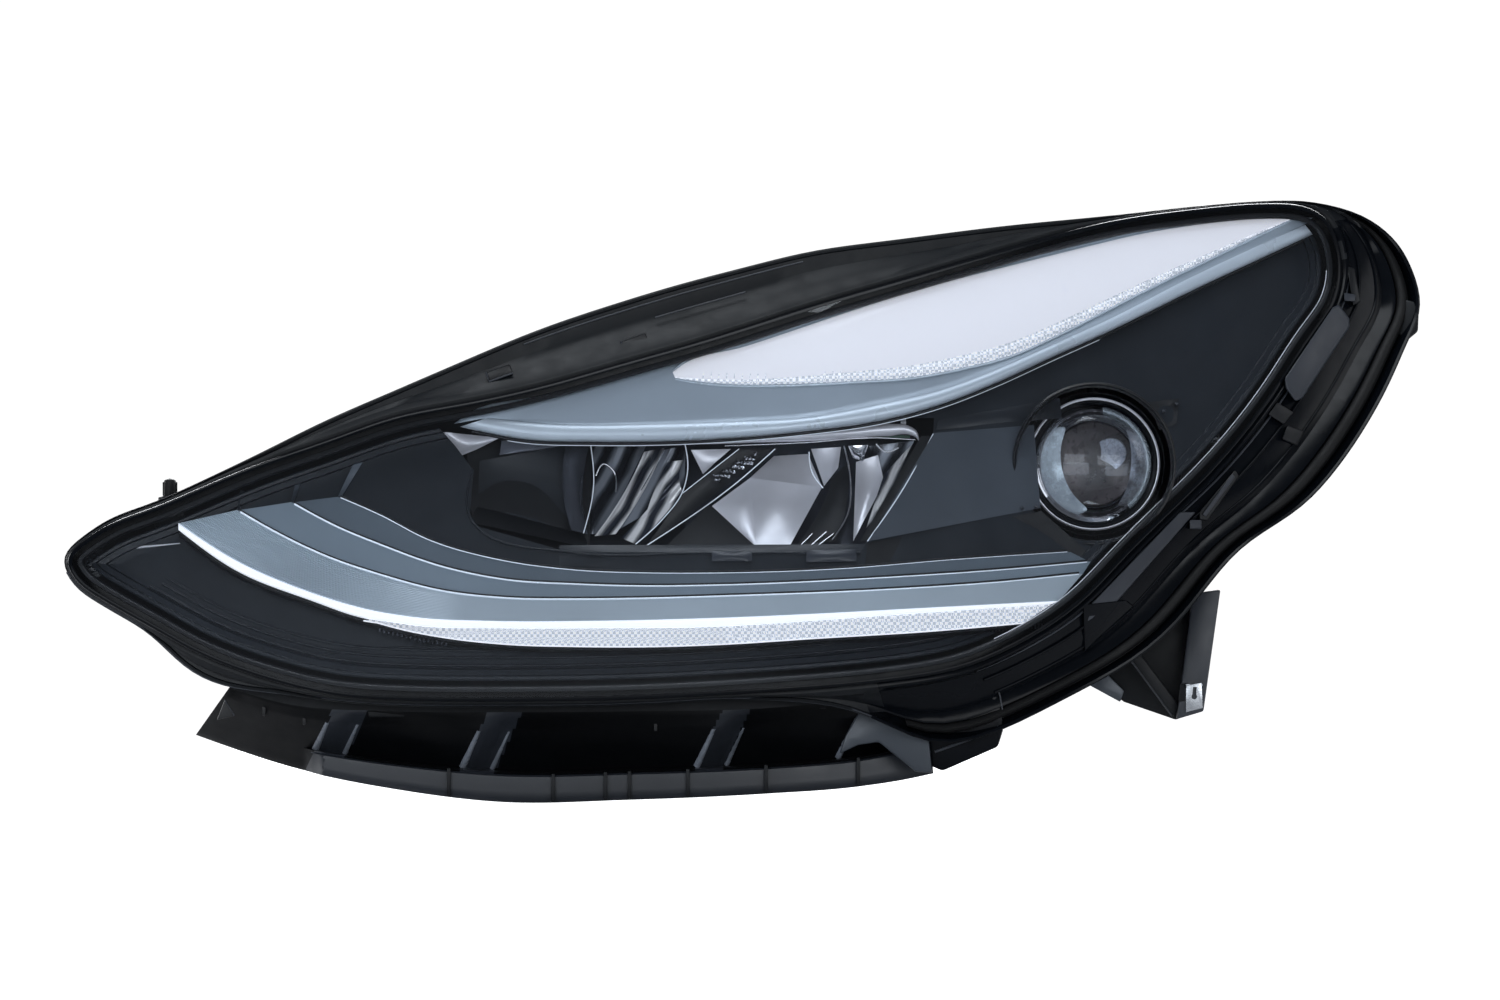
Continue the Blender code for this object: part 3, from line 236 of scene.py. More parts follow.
def ramp(nt, fac, stops):
    r = nt.nodes.new("ShaderNodeValToRGB")
    cr = r.color_ramp
    while len(cr.elements) < len(stops):
        cr.elements.new(0.5)
    for e, (p, c) in zip(cr.elements, stops):
        e.position = p
        e.color = (*c, 1) if len(c) == 3 else c
    nt.links.new(fac, r.inputs["Fac"])
    return r.outputs["Color"]


def spread_value(nt, fac, lo, hi):
    r = nt.nodes.new("ShaderNodeMapRange")
    r.inputs["From Min"].default_value = 0.3
    r.inputs["From Max"].default_value = 0.7
    r.inputs["To Min"].default_value = lo
    r.inputs["To Max"].default_value = hi
    nt.links.new(fac, r.inputs["Value"])
    return r.outputs["Result"]


def bump(nt, height, strength, dist=0.0002):
    b = nt.nodes.new("ShaderNodeBump")
    b.inputs["Strength"].default_value = strength
    b.inputs["Distance"].default_value = dist
    nt.links.new(height, b.inputs["Height"])
    return b.outputs["Normal"]


def stuff(name, colour, rough, metal=0.0, vary=0.12, rough_vary=0.06, grain=None, coat=0.0, coat_rough=0.05,
          spec=0.5, smudge=18, emission=None, stretch=None, sheen=0.0):
    """A Principled finish whose colour and gloss wander a little and whose skin has a fine grain."""
    m, nt, out = nodes_of(name)
    b = nt.nodes.new("ShaderNodeBsdfPrincipled")
    b.inputs["Metallic"].default_value = metal
    b.inputs["Specular IOR Level"].default_value = spec
    b.inputs["Coat Weight"].default_value = coat
    b.inputs["Coat Roughness"].default_value = coat_rough
    c = np.array(colour, float)
    big = noise(nt, smudge, 4, 0.55, stretch)
    nt.links.new(ramp(nt, big, [(0.3, tuple(c * (1 - vary))), (0.7, tuple(np.minimum(1, c * (1 + vary))))]), b.inputs["Base Color"])
    fine = noise(nt, smudge * 7, 3, 0.6, stretch)
    nt.links.new(spread_value(nt, fine, max(0.01, rough - rough_vary), rough + rough_vary), b.inputs["Roughness"])
    if grain:
        g = noise(nt, grain[0], 2, 0.5)
        nt.links.new(bump(nt, g, grain[1], grain[2] if len(grain) > 2 else 0.0001), b.inputs["Normal"])
    if emission:
        b.inputs["Emission Color"].default_value = (*emission[0], 1)
        b.inputs["Emission Strength"].default_value = emission[1]
    nt.links.new(b.outputs["BSDF"], out.inputs["Surface"])
    return m


def clear(name, tint, haze=0.0, ior=1.5, rough=0.02):
    """Clear hard-coated plastic: what lies behind shows through, and the skin mirrors by Fresnel."""
    m, nt, out = nodes_of(name)
    t = nt.nodes.new("ShaderNodeBsdfTransparent")
    t.inputs["Color"].default_value = (*tint, 1)
    g = nt.nodes.new("ShaderNodeBsdfGlossy")
    g.inputs["Roughness"].default_value = rough
    g.inputs["Color"].default_value = (0.92, 0.95, 1.0, 1)
    # the skin's mirror share rises with the slant of view in the same way on both of its faces
    lw = nt.nodes.new("ShaderNodeLayerWeight")
    lw.inputs["Blend"].default_value = 0.5
    power = nt.nodes.new("ShaderNodeMath")
    power.operation = "POWER"
    power.inputs[1].default_value = 5.0
    nt.links.new(lw.outputs["Facing"], power.inputs[0])
    head_on = ((ior - 1) / (ior + 1)) ** 2
    f = nt.nodes.new("ShaderNodeMath")
    f.operation = "MULTIPLY_ADD"
    f.inputs[1].default_value = 0.9 - head_on
    f.inputs[2].default_value = head_on
    nt.links.new(power.outputs["Value"], f.inputs[0])
    mix = nt.nodes.new("ShaderNodeMixShader")
    nt.links.new(f.outputs["Value"], mix.inputs["Fac"])
    nt.links.new(t.outputs["BSDF"], mix.inputs[1])
    nt.links.new(g.outputs["BSDF"], mix.inputs[2])
    nt.links.new(mix.outputs["Shader"], out.inputs["Surface"])
    return m


def glass(name, tint, rough=0.0, ior=1.5):
    m, nt, out = nodes_of(name)
    b = nt.nodes.new("ShaderNodeBsdfPrincipled")
    b.inputs["Base Color"].default_value = (*tint, 1)
    b.inputs["Transmission Weight"].default_value = 1.0
    b.inputs["Roughness"].default_value = rough
    b.inputs["IOR"].default_value = ior
    fine = noise(nt, 60, 2, 0.5)
    nt.links.new(bump(nt, fine, 0.02, 0.00005), b.inputs["Normal"])
    nt.links.new(b.outputs["BSDF"], out.inputs["Surface"])
    return m




def streaked(name, angle, scale, lo, hi, metal=0.5, rough=0.2):
    """Mirror metal whose light and dark bands along the flutes are painted reflections in the colour; the bump gives
    the flutes.
    """
    m, nt, out = nodes_of(name)
    b = nt.nodes.new("ShaderNodeBsdfPrincipled")
    b.inputs["Metallic"].default_value = metal
    b.inputs["Roughness"].default_value = rough
    tc = nt.nodes.new("ShaderNodeTexCoord")
    mp = nt.nodes.new("ShaderNodeMapping")
    mp.inputs["Rotation"].default_value = (0, math.radians(angle), 0)
    nt.links.new(tc.outputs["Object"], mp.inputs["Vector"])
    wv = nt.nodes.new("ShaderNodeTexWave")
    wv.inputs["Scale"].default_value = scale
    wv.inputs["Distortion"].default_value = 3.2
    wv.inputs["Detail"].default_value = 2.5
    wv.inputs["Detail Scale"].default_value = 0.7
    nt.links.new(mp.outputs["Vector"], wv.inputs["Vector"])
    nt.links.new(ramp(nt, wv.outputs["Fac"], [(0.18, lo), (0.55, tuple(0.55 * np.array(lo) + 0.3 * np.array(hi))), (0.86, hi)]), b.inputs["Base Color"])
    nt.links.new(bump(nt, wv.outputs["Fac"], 0.35, 0.0004), b.inputs["Normal"])
    nt.links.new(b.outputs["BSDF"], out.inputs["Surface"])
    return m


def faceted(name, light, dark, size, glow):
    """Moulded pyramid field: a checker of light and dark colour with a glow, painted light and shade for tiny facets
    that take the light by turns.
    """
    m, nt, out = nodes_of(name)
    b = nt.nodes.new("ShaderNodeBsdfPrincipled")
    b.inputs["Roughness"].default_value = 0.14
    b.inputs["Coat Weight"].default_value = 0.5
    tc = nt.nodes.new("ShaderNodeTexCoord")
    ck = nt.nodes.new("ShaderNodeTexChecker")
    ck.inputs["Scale"].default_value = size
    ck.inputs["Color1"].default_value = (*light, 1)
    ck.inputs["Color2"].default_value = (*dark, 1)
    nt.links.new(tc.outputs["Object"], ck.inputs["Vector"])
    nt.links.new(ck.outputs["Color"], b.inputs["Base Color"])
    nt.links.new(ck.outputs["Color"], b.inputs["Emission Color"])
    b.inputs["Emission Strength"].default_value = glow
    nt.links.new(bump(nt, noise(nt, 900, 2, 0.5), 0.1, 0.00005), b.inputs["Normal"])
    nt.links.new(b.outputs["BSDF"], out.inputs["Surface"])
    return m


M = {
    # painted reflections: light and dark bands in the colour of the fluted mirror cells, with a dim copy that is
    # painted shade
    "streak": streaked("mirror_painted_reflection_bands", -30, 42, (0.03, 0.035, 0.05), (1.0, 1.0, 1.0), metal=0.35),
    "streak_dim": streaked("mirror_painted_reflection_bands_dim", -30, 30, (0.012, 0.014, 0.02), (0.34, 0.37, 0.42), metal=0.4),
    # painted highlights on the projector lens: a light colour with a glow, in a bright copy and a dim copy
    "halo": stuff("lens_painted_highlight", (0.46, 0.55, 0.68), 0.26, metal=0.3, vary=0.9, smudge=75, emission=((0.70, 0.84, 1.0), 0.20)),
    "halo_dim": stuff("lens_painted_highlight_dim", (0.30, 0.325, 0.37), 0.28, metal=0.3, vary=0.95, smudge=80, emission=((0.86, 0.90, 1.0), 0.03)),
    "amber": stuff("lens_core", (0.050, 0.040, 0.038), 0.30, metal=0.4, vary=0.85, smudge=60),
    # painted highlight along the skirt's fold edges
    "fold": stuff("fold_painted_highlight", (0.22, 0.245, 0.29), 0.30, grain=(2000, 0.3, 0.00005), vary=0.4, smudge=30),
    # painted light: a lighter copy of the bezel colour for the tallest seam riser
    "riser": stuff("riser_painted_light", (0.105, 0.125, 0.15), 0.34, metal=0.1, grain=(2400, 0.2, 0.00005), vary=0.3, smudge=60),
    # painted light: lighter copies of the skirt black for the ledge and for the slanted pleat faces
    "ledge": stuff("ledge_painted_light", (0.024, 0.028, 0.036), 0.36, grain=(2400, 0.4, 0.00006), vary=0.2, smudge=10),
    "slope": stuff("slope_painted_light", (0.030, 0.035, 0.045), 0.34, grain=(2400, 0.4, 0.00006), vary=0.25, smudge=10),
    "shell": stuff("shell_plastic", (0.0058, 0.0074, 0.0098), 0.48, grain=(2600, 0.35, 0.00006), vary=0.2, smudge=14, spec=0.28),
    "flange": stuff("flange_plastic", (0.0105, 0.0135, 0.0185), 0.46, grain=(2200, 0.4, 0.00006), vary=0.22, smudge=11),
    "gloss": stuff("gloss_black", (0.0030, 0.0040, 0.0060), 0.20, grain=(700, 0.05, 0.00005), rough_vary=0.05, vary=0.2, coat=0.0, spec=0.13),
    "pad": stuff("satin_pad", (0.032, 0.037, 0.048), 0.40, grain=(2400, 0.4, 0.00006), vary=0.15),
    "bezel": stuff("bezel_satin", (0.0140, 0.0180, 0.0240), 0.36, grain=(1900, 0.25, 0.00005), vary=0.18, smudge=9, spec=0.4),
    "skirt": stuff("skirt_black", (0.0024, 0.0029, 0.0040), 0.46, grain=(2400, 0.4, 0.00006), vary=0.2, smudge=12, spec=0.2),
    # painted light: a lighter copy of the bezel colour for the facet panel, the seam risers, the skirt cheek and the
    # bracket facet
    "facet": stuff("facet_painted_light", (0.070, 0.083, 0.102), 0.34, metal=0.15, grain=(1900, 0.2, 0.00005), vary=0.2, smudge=9),
    # black for the lens border print and the projector tube, and painted shade in the wells, slots, pockets, notches,
    # dark reflector patches and the shadow lines under the blade and fins
    "deep": stuff("black_and_painted_shade", (0.0030, 0.0040, 0.0060), 0.42, grain=(1500, 0.3, 0.00005), vary=0.2),
    "blade": stuff("blade_satin", (0.385, 0.45, 0.515), 0.36, metal=0.2, grain=(3000, 0.25, 0.00003), vary=0.10, smudge=7),
    # painted light: a lighter copy of the blade colour for its lower lip
    "blade_lip": stuff("blade_lip_painted_light", (0.66, 0.745, 0.82), 0.30, metal=0.2, grain=(3000, 0.2, 0.00003), vary=0.08, smudge=7),
    # painted light and shade: lit, half-shaded and shaded copies of one satin for the three fin shelves
    "step1": stuff("step_painted_lit", (0.47, 0.545, 0.605), 0.34, metal=0.2, grain=(3000, 0.25, 0.00003), vary=0.08, smudge=8),
    "step2": stuff("step_painted_half_shade", (0.245, 0.305, 0.36), 0.36, metal=0.2, grain=(3000, 0.25, 0.00003), vary=0.10, smudge=8),
    "step3": stuff("step_painted_shade", (0.135, 0.170, 0.205), 0.38, metal=0.2, grain=(3000, 0.25, 0.00003), vary=0.12, smudge=8),
    # painted highlight lines: a light colour with a glow for the mirror edges, glints and boundary lines
    "edge": stuff("painted_highlight_line", (0.72, 0.80, 0.88), 0.22, metal=0.4, vary=0.05, emission=((0.80, 0.88, 1.0), 0.35)),
    # painted glow: emission on the unlit white diffuser in place of the light it receives
    "panel": stuff("white_diffuser_painted_glow", (0.80, 0.80, 0.845), 0.32, vary=0.03, grain=(1500, 0.12, 0.00004), smudge=6, coat=0.25, emission=((0.96, 0.945, 0.975), 0.30)),
    # painted glow: emission on the unlit white light bar in place of the light it receives
    "drl": stuff("light_bar_white_painted_glow", (0.84, 0.85, 0.88), 0.28, vary=0.03, grain=(1800, 0.1, 0.00004), emission=((0.92, 0.95, 1.0), 0.62)),
    # painted light and shade: a light and dark checker with a glow on the prism bands
    "prism": faceted("light_bar_prism_painted_light", (0.92, 0.93, 0.96), (0.52, 0.55, 0.60), 660, 0.42),
    "chrome": stuff("mirror_metal", (0.86, 0.87, 0.90), 0.07, metal=1.0, rough_vary=0.03, vary=0.03, grain=(500, 0.04, 0.00005)),
    # satin metal with a faint painted glow; on the light reflector facets, the wedge, the border line and the gate line
    # it is painted highlight
    "chrome_soft": stuff("satin_metal_painted_glow", (0.74, 0.75, 0.80), 0.34, metal=0.45, rough_vary=0.05, vary=0.16, smudge=26, coat=0.5, coat_rough=0.12, emission=((0.85, 0.87, 1.0), 0.05)),
    # a darkened copy of the chrome: on the reflector backs, the sliver and the fin its darkness is painted dark
    # reflection; the light bar teeth use it too
    "chrome_dark": stuff("darkened_chrome", (0.115, 0.125, 0.15), 0.20, metal=0.7, rough_vary=0.05, vary=0.25, smudge=22),
    "steel": stuff("zinc_steel", (0.52, 0.54, 0.57), 0.28, metal=1.0, vary=0.10, rough_vary=0.09, grain=(900, 0.2, 0.00006), smudge=40, stretch=(1, 1, 4)),
    "aluminium": stuff("cast_aluminium", (0.42, 0.43, 0.45), 0.42, metal=1.0, vary=0.08, rough_vary=0.08, grain=(1300, 0.5, 0.0001)),
    "rubber": stuff("seal_rubber", (0.0055, 0.0058, 0.0065), 0.62, grain=(1700, 0.5, 0.0001), vary=0.25, spec=0.35),
    "nylon": stuff("natural_nylon", (0.66, 0.65, 0.60), 0.45, vary=0.05, grain=(1500, 0.2, 0.00006)),
    "board": stuff("circuit_board", (0.02, 0.10, 0.055), 0.38, vary=0.3, smudge=160, coat=0.3),
    "lens": clear("lens_clear", (0.955, 0.965, 0.98), ior=1.40),
    "glass": glass("projector_glass", (0.94, 0.96, 1.0)),
    "bulb": glass("bulb_glass", (1.0, 0.93, 0.80), ior=1.3),
}


# ============================================================ objects
def add(name, V, F, mat, body=BODY, slot="black_plastic", replaces=(), index=None, weld=True, sharp=38, pivotless=True):
    me = bpy.data.meshes.new(name)
    me.from_pydata(((np.asarray(V, float) - DATUM) * MM).tolist(), [], [list(map(int, f)) for f in F])
    mats = mat if isinstance(mat, (list, tuple)) else [mat]
    for k in mats:
        me.materials.append(M[k] if isinstance(k, str) else k)
    if index is not None:
        me.polygons.foreach_set("material_index", np.asarray(index, np.int32))
    bm = bmesh.new()
    bm.from_mesh(me)
    if weld:
        bmesh.ops.remove_doubles(bm, verts=bm.verts, dist=3e-6)
        bmesh.ops.dissolve_degenerate(bm, edges=bm.edges, dist=1e-7)
    bmesh.ops.recalc_face_normals(bm, faces=bm.faces)
    bm.to_mesh(me)
    bm.free()
    ob = bpy.data.objects.new(name, me)
    bpy.context.scene.collection.objects.link(ob)
    me.shade_smooth()
    me.set_sharp_from_angle(angle=math.radians(sharp))
    if body:
        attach(ob, body)
        if replaces:
            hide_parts(*replaces)
    return ob


def apply_all(ob, sharp=38):
    dg = bpy.context.evaluated_depsgraph_get()
    me = bpy.data.meshes.new_from_object(ob.evaluated_get(dg))
    ob.modifiers.clear()
    old = ob.data
    ob.data = me
    bpy.data.meshes.remove(old)
    me.shade_smooth()
    me.set_sharp_from_angle(angle=math.radians(sharp))
    return ob


def bevelled(ob, width, segments=2, angle=30, sharp=38):
    b = ob.modifiers.new("Bevel", "BEVEL")
    b.width, b.segments, b.limit_method = width * MM, segments, "ANGLE"
    b.angle_limit = math.radians(angle)
    b.harden_normals = False
    return apply_all(ob, sharp)


def carve(ob, cutters, sharp=38, op="DIFFERENCE"):
    for c in cutters:
        b = ob.modifiers.new("Cut", "BOOLEAN")
        b.operation, b.solver, b.object = op, "EXACT", c
    apply_all(ob, sharp)
    for c in cutters:
        bpy.data.objects.remove(c)
    return ob


def loft_data(rings, cap_first=None, cap_last=None, loop=False, m=4):
    V, F = [], []
    n = len(rings[0])
    for r in rings:
        V.extend(map(tuple, r))
    count = len(rings)
    for k in range(count if loop else count - 1):
        a, b = k * n, ((k + 1) % count) * n
        F.extend((a + i, a + (i + 1) % n, b + (i + 1) % n, b + i) for i in range(n))
    half = n // 2
    for which, cap in ((0, cap_first), (count - 1, cap_last)):
        if loop or cap is False:
            continue
        base = which * n
        rows = [[base]]
        for i in range(1, half):
            p, q = np.array(V[base + i]), np.array(V[base + n - i])
            row = [base + i]
            for j in range(1, m):
                r = p * (1 - j / m) + q * (j / m)
                if cap is not None:
                    r[1] = float(cap(r[0], r[2]))
                V.append(tuple(r))
                row.append(len(V) - 1)
            row.append(base + n - i)
            rows.append(row)
        rows.append([base + half])
        for r0, r1 in zip(rows, rows[1:]):
            if len(r0) == 1:
                F.extend((r0[0], r1[j], r1[j + 1]) for j in range(m))
            elif len(r1) == 1:
                F.extend((r0[j + 1], r0[j], r1[0]) for j in range(m))
            else:
                F.extend((r0[j], r1[j], r1[j + 1], r0[j + 1]) for j in range(m))
    return V, F


def slab(name, front, back, mat, index=None, **kw):
    """Closed piece between two grids of points, front and back [rows, columns, 3]. index gives each front cell's material."""
    front, back = np.asarray(front, float), np.asarray(back, float)
    ns, nt = front.shape[:2]
    V = np.vstack([front.reshape(-1, 3), back.reshape(-1, 3)])
    n = ns * nt
    F, I = [], []
    for i in range(ns - 1):
        for j in range(nt - 1):
            a, b, c, d = i * nt + j, (i + 1) * nt + j, (i + 1) * nt + j + 1, i * nt + j + 1
            k = 0 if index is None else int(index[i][j]) if np.ndim(index) == 2 else int(index[j])
            F.append((a, b, c, d)); I.append(k)
            F.append((n + d, n + c, n + b, n + a)); I.append(k)
    edge = ([(i, 0) for i in range(ns)] + [(ns - 1, j) for j in range(1, nt)]
            + [(i, nt - 1) for i in range(ns - 2, -1, -1)] + [(0, j) for j in range(nt - 2, 0, -1)])
    idx = [i * nt + j for i, j in edge]
    for k in range(len(idx)):
        a, b = idx[k], idx[(k + 1) % len(idx)]
        F.append((b, a, n + a, n + b)); I.append(0)
    return add(name, V, F, mat, index=I if index is not None else None, weld=False, **kw)


def turned(name, centre, axis, profile, mat, seg=64, closed=False, **kw):
    k = "XYZ".index(axis)
    u, v = [(1, 2), (2, 0), (0, 1)][k]
    V = []
    for i in range(seg):
        a = 2 * math.pi * i / seg
        for r, h in profile:
            p = [0.0, 0.0, 0.0]
            p[k], p[u], p[v] = h, centre[u] + r * math.cos(a), centre[v] + r * math.sin(a)
            V.append(tuple(p))
    n = len(profile)
    F = []
    for i in range(seg):
        j = (i + 1) % seg
        for q in range(n if closed else n - 1):
            w = (q + 1) % n
            F.append((i * n + q, j * n + q, j * n + w, i * n + w))
    return add(name, V, F, mat, **kw)


def rounded(profile, r=0.6, k=3):
    """The profile with each inner corner eased by radius r."""
    out = [profile[0]]
    for a, b, c in zip(profile, profile[1:], profile[2:]):
        a, b, c = map(np.array, (a, b, c))
        la, lc = np.linalg.norm(a - b), np.linalg.norm(c - b)
        d = min(r, la * 0.45, lc * 0.45)
        p, q = b + (a - b) / la * d, b + (c - b) / lc * d
        for s in np.linspace(0, 1, k + 1):
            out.append(tuple((1 - s) ** 2 * p + 2 * s * (1 - s) * b + s**2 * q))
    out.append(profile[-1])
    return out


def rounded_loop(profile, r=0.6, k=3):
    P = list(profile)
    out = rounded([P[-1]] + P + [P[0]], r, k)
    return out[1:-1]


def block(name, lo, hi, mat, bevel=0.8, **kw):
    (a, b, c), (d, e, f) = lo, hi
    V = [(a, b, c), (d, b, c), (d, e, c), (a, e, c), (a, b, f), (d, b, f), (d, e, f), (a, e, f)]
    F = [(0, 3, 2, 1), (4, 5, 6, 7), (0, 1, 5, 4), (1, 2, 6, 5), (2, 3, 7, 6), (3, 0, 4, 7)]
    ob = add(name, V, F, mat, **kw)
    return bevelled(ob, bevel) if bevel else ob


def plate(name, poly, axis, a, b, mat, bevel=0.6, **kw):
    k = "XYZ".index(axis)
    rest = [i for i in range(3) if i != k]
    V = []
    for h in (a, b):
        for p in poly:
            q = [0.0, 0.0, 0.0]
            q[k], q[rest[0]], q[rest[1]] = h, p[0], p[1]
            V.append(tuple(q))
    n = len(poly)
    F = [tuple(range(n)), tuple(range(2 * n - 1, n - 1, -1))]
    F += [(i, (i + 1) % n, n + (i + 1) % n, n + i) for i in range(n)]
    ob = add(name, V, F, mat, **kw)
    return bevelled(ob, bevel) if bevel else ob


def wire(name, pts, r, mat, seg=8, **kw):
    """A thin round bead along 3-D points."""
    P = np.array(pts, float)
    T = np.gradient(P, axis=0)
    T /= np.linalg.norm(T, axis=1)[:, None]
    up = np.array([0, 1.0, 0])
    V, F = [], []
    n = len(P)
    radii = np.broadcast_to(r, n)
    for p, t, rr in zip(P, T, radii):
        a = np.cross(t, up)
        a /= np.linalg.norm(a)
        b = np.cross(t, a)
        for k in range(seg):
            w = 2 * math.pi * k / seg
            V.append(p + rr * (a * math.cos(w) + b * math.sin(w)))
    for i in range(n - 1):
        for k in range(seg):
            F.append((i * seg + k, i * seg + (k + 1) % seg, (i + 1) * seg + (k + 1) % seg, (i + 1) * seg + k))
    F.append(tuple(range(seg)))
    F.append(tuple(n * seg - 1 - k for k in range(seg)))
    return add(name, V, F, mat, weld=False, sharp=60, **kw)


def cutter(kind, *args, **kw):
    return kind(*args, body=None, **kw)


def on(p, y=0.0):
    return (p[0], y, p[1])


def between(A, B, ts):
    return A[:, None, :] * (1 - np.asarray(ts)[None, :, None]) + B[:, None, :] * np.asarray(ts)[None, :, None]


def lift(xz, y):
    return np.dstack([xz[..., 0], y, xz[..., 1]])


# ============================================================ outline at full resolution
LENS, RIM, REAR = outline(HALF)
N = len(LENS)
W_GAP = np.linalg.norm(RIM - LENS, axis=1)
YL = lens_y(LENS[:, 0], LENS[:, 1])
SIDE = np.clip((W_GAP - 4) / 40, 0, 1)
YR = YL + 8 + 0.42 * W_GAP
TOPSIDE = np.clip((W_GAP - 3) / 6, 0, 1) * (np.arange(N) < HALF * 0.93) * (LENS[:, 0] < 250)
RIGHT = np.clip((W_GAP - 12) / 10, 0, 1) * ((np.arange(N) > HALF * 0.9) | (LENS[:, 0] > 262)) * (LENS[:, 0] > 60)


def toward(t):
    t = np.broadcast_to(t, len(RIM))[:, None]
    return RIM * (1 - t) + LENS * t


def per(mm):
    return np.minimum(0.45, mm / W_GAP)


# ------------------------------------------------------------ housing shell
IN1, IN5, IN7 = inset(LENS, 1.0), inset(LENS, 5.2), inset(LENS, 7.6)
REAR_IN = inset(REAR, 3.0)
RIM[:, 1] = np.minimum(RIM[:, 1], CAD_BOX[1][2] / MM + DATUM[2] - 0.02)
YB = back_y(REAR[:, 0])
YBI = YB - 3
y_floor = YL + 22
y_trough = (YR + YL + 6) / 2 + 9 * SIDE
wall_at = toward(1 - per(3.0))
sh_in = IN7 * 0.2 + REAR_IN * 0.8
sh_out = wall_at * 0.2 + REAR * 0.8
dd = sh_out - sh_in
gg = np.linalg.norm(dd, axis=1)
sh_out = sh_in + dd / gg[:, None] * np.maximum(gg, 3)[:, None]
y_sh = y_floor + 0.20 * (YBI - y_floor)


def mix(a, b, t):
    return a * (1 - t) + b * t


def smooth_wall(p, q, r, yp, yq, yr, k=5):
    """Rings from p to r that bend gently round q."""
    out = []
    for s in np.linspace(0, 1, k + 2)[1:-1]:
        a, b, c = (1 - s) ** 2, 2 * s * (1 - s), s * s
        out.append(ring3(a * p + b * q + c * r, a * yp + b * yq + c * yr))
    return out


lip_in = toward(per(2.6))
groove_a, groove_b = toward(per(2.6) + 0.07 * RIGHT), toward(per(2.6) + 0.22 * RIGHT)
# the wing-side flange runs rim lip, seal groove, step, trough and lens wall; the top flange is one flat run
y_step = YR + 2 + (y_trough - YR - 2) * 0.45
rings = [
    ring3(REAR_IN * 0.96 + REAR_IN.mean(0) * 0.04, YBI),
    ring3(inset(REAR_IN, 1.2), YBI - 1.2),
    ring3(REAR_IN, YBI - 5),
    *smooth_wall(REAR_IN, sh_in, IN7, YBI - 5, y_sh, YL + 27, 4),
    ring3(IN7, YL + 27),
    ring3(IN7, YL + 12),
    ring3(IN5, YL + 12),
    ring3(IN5, y_floor),
    ring3(IN1, y_floor),
    ring3(IN1, YL + 5.4),
    ring3(mix(wall_at, IN1, 0.75), YL + 4.9),
    ring3(mix(wall_at, IN1, 0.25), YL + 4.9),
    ring3(wall_at, YL + 5.6),
    ring3(toward(1 - per(4.6)), YL + 6.4 + 5 * RIGHT),
    ring3(toward(0.62), mix(YL + 6.4, y_trough, 0.55) + 3.0 * RIGHT),
    ring3(toward(0.45), mix(y_trough, y_step, 0.25) + 2.5 * RIGHT),
    ring3(toward(np.minimum(0.44, per(2.6) + 0.27)), y_step + 0.2 * RIGHT),
    ring3(groove_b * 0.9 + toward(np.minimum(0.44, per(2.6) + 0.27)) * 0.1, y_step + 0.6 * RIGHT),
    ring3(groove_b, y_step + 5.2 * RIGHT),
    ring3(groove_a, YR + 2 + 6 * RIGHT),
    ring3(lip_in, YR + 1.2 + 1.5 * RIGHT),
    ring3(mix(lip_in, RIM, 0.25), YR + 0.3),
    ring3(mix(lip_in, RIM, 0.7), YR),
    ring3(RIM, YR + 0.7),
    ring3(RIM, YR + 8.3),
    ring3(mix(RIM, lip_in, 0.3), YR + 9),
    ring3(lip_in, YR + 9),
    ring3(toward(np.minimum(0.44, per(2.6) + 0.1)), YR + 7 + 4 * RIGHT),
    ring3(toward(0.5), y_trough + 5 + 2.5 * RIGHT),
    ring3(toward(1 - per(4.0)), YL + 12 + 3 * RIGHT),
    ring3(wall_at, YL + 15),
    ring3(wall_at, y_floor + 3),
    ring3(inset(LENS, 3.0), y_floor + 4.2),
    *smooth_wall(inset(LENS, 3.0), sh_out, REAR, y_floor + 4.2, y_sh - 1.5, YB - 6, 5),
    ring3(REAR, YB - 6),
    ring3(inset(REAR, 1.4), YB - 1.8),
    ring3(inset(REAR, 4.5), YB),
]
V, F = loft_data(rings, cap_first=lambda x, z: back_y(x) - 3, cap_last=lambda x, z: back_y(x), m=12)
housing = add("housing_shell", V, F, ["shell", "gloss"], replaces=("housing",), weld=True, sharp=30)
cuts = [
    turned("c1", on(PROJ), "Y", [(0, 220), (52, 220), (52, 300), (0, 300)], "shell", seg=64, body=None),
    turned("c2", on(BULB), "Y", [(0, 200), (14, 200), (14, 240), (0, 240)], "shell", seg=40, body=None),
    turned("c3", on(V_SCREW), "Y", [(0, 190), (3.6, 190), (3.6, 222), (0, 222)], "shell", seg=24, body=None),
    block("c4", (CONNECTOR[0] - 21, 130, CONNECTOR[1] - 11), (CONNECTOR[0] + 21, 180, CONNECTOR[1] + 11), "shell", bevel=0, body=None),
]
carve(housing, cuts, 30)
mid_ring = (RIM + LENS) / 2
for f in housing.data.polygons:
    c = np.array(f.center) / MM + DATUM
    i = int(np.argmin(((mid_ring - c[[0, 2]]) ** 2).sum(1)))
    if RIGHT[i] > 0.25 and c[1] < YR[i] + 12 and f.normal.y < 0.3 and c[1] > YL[i] + 3:
        f.material_index = 1

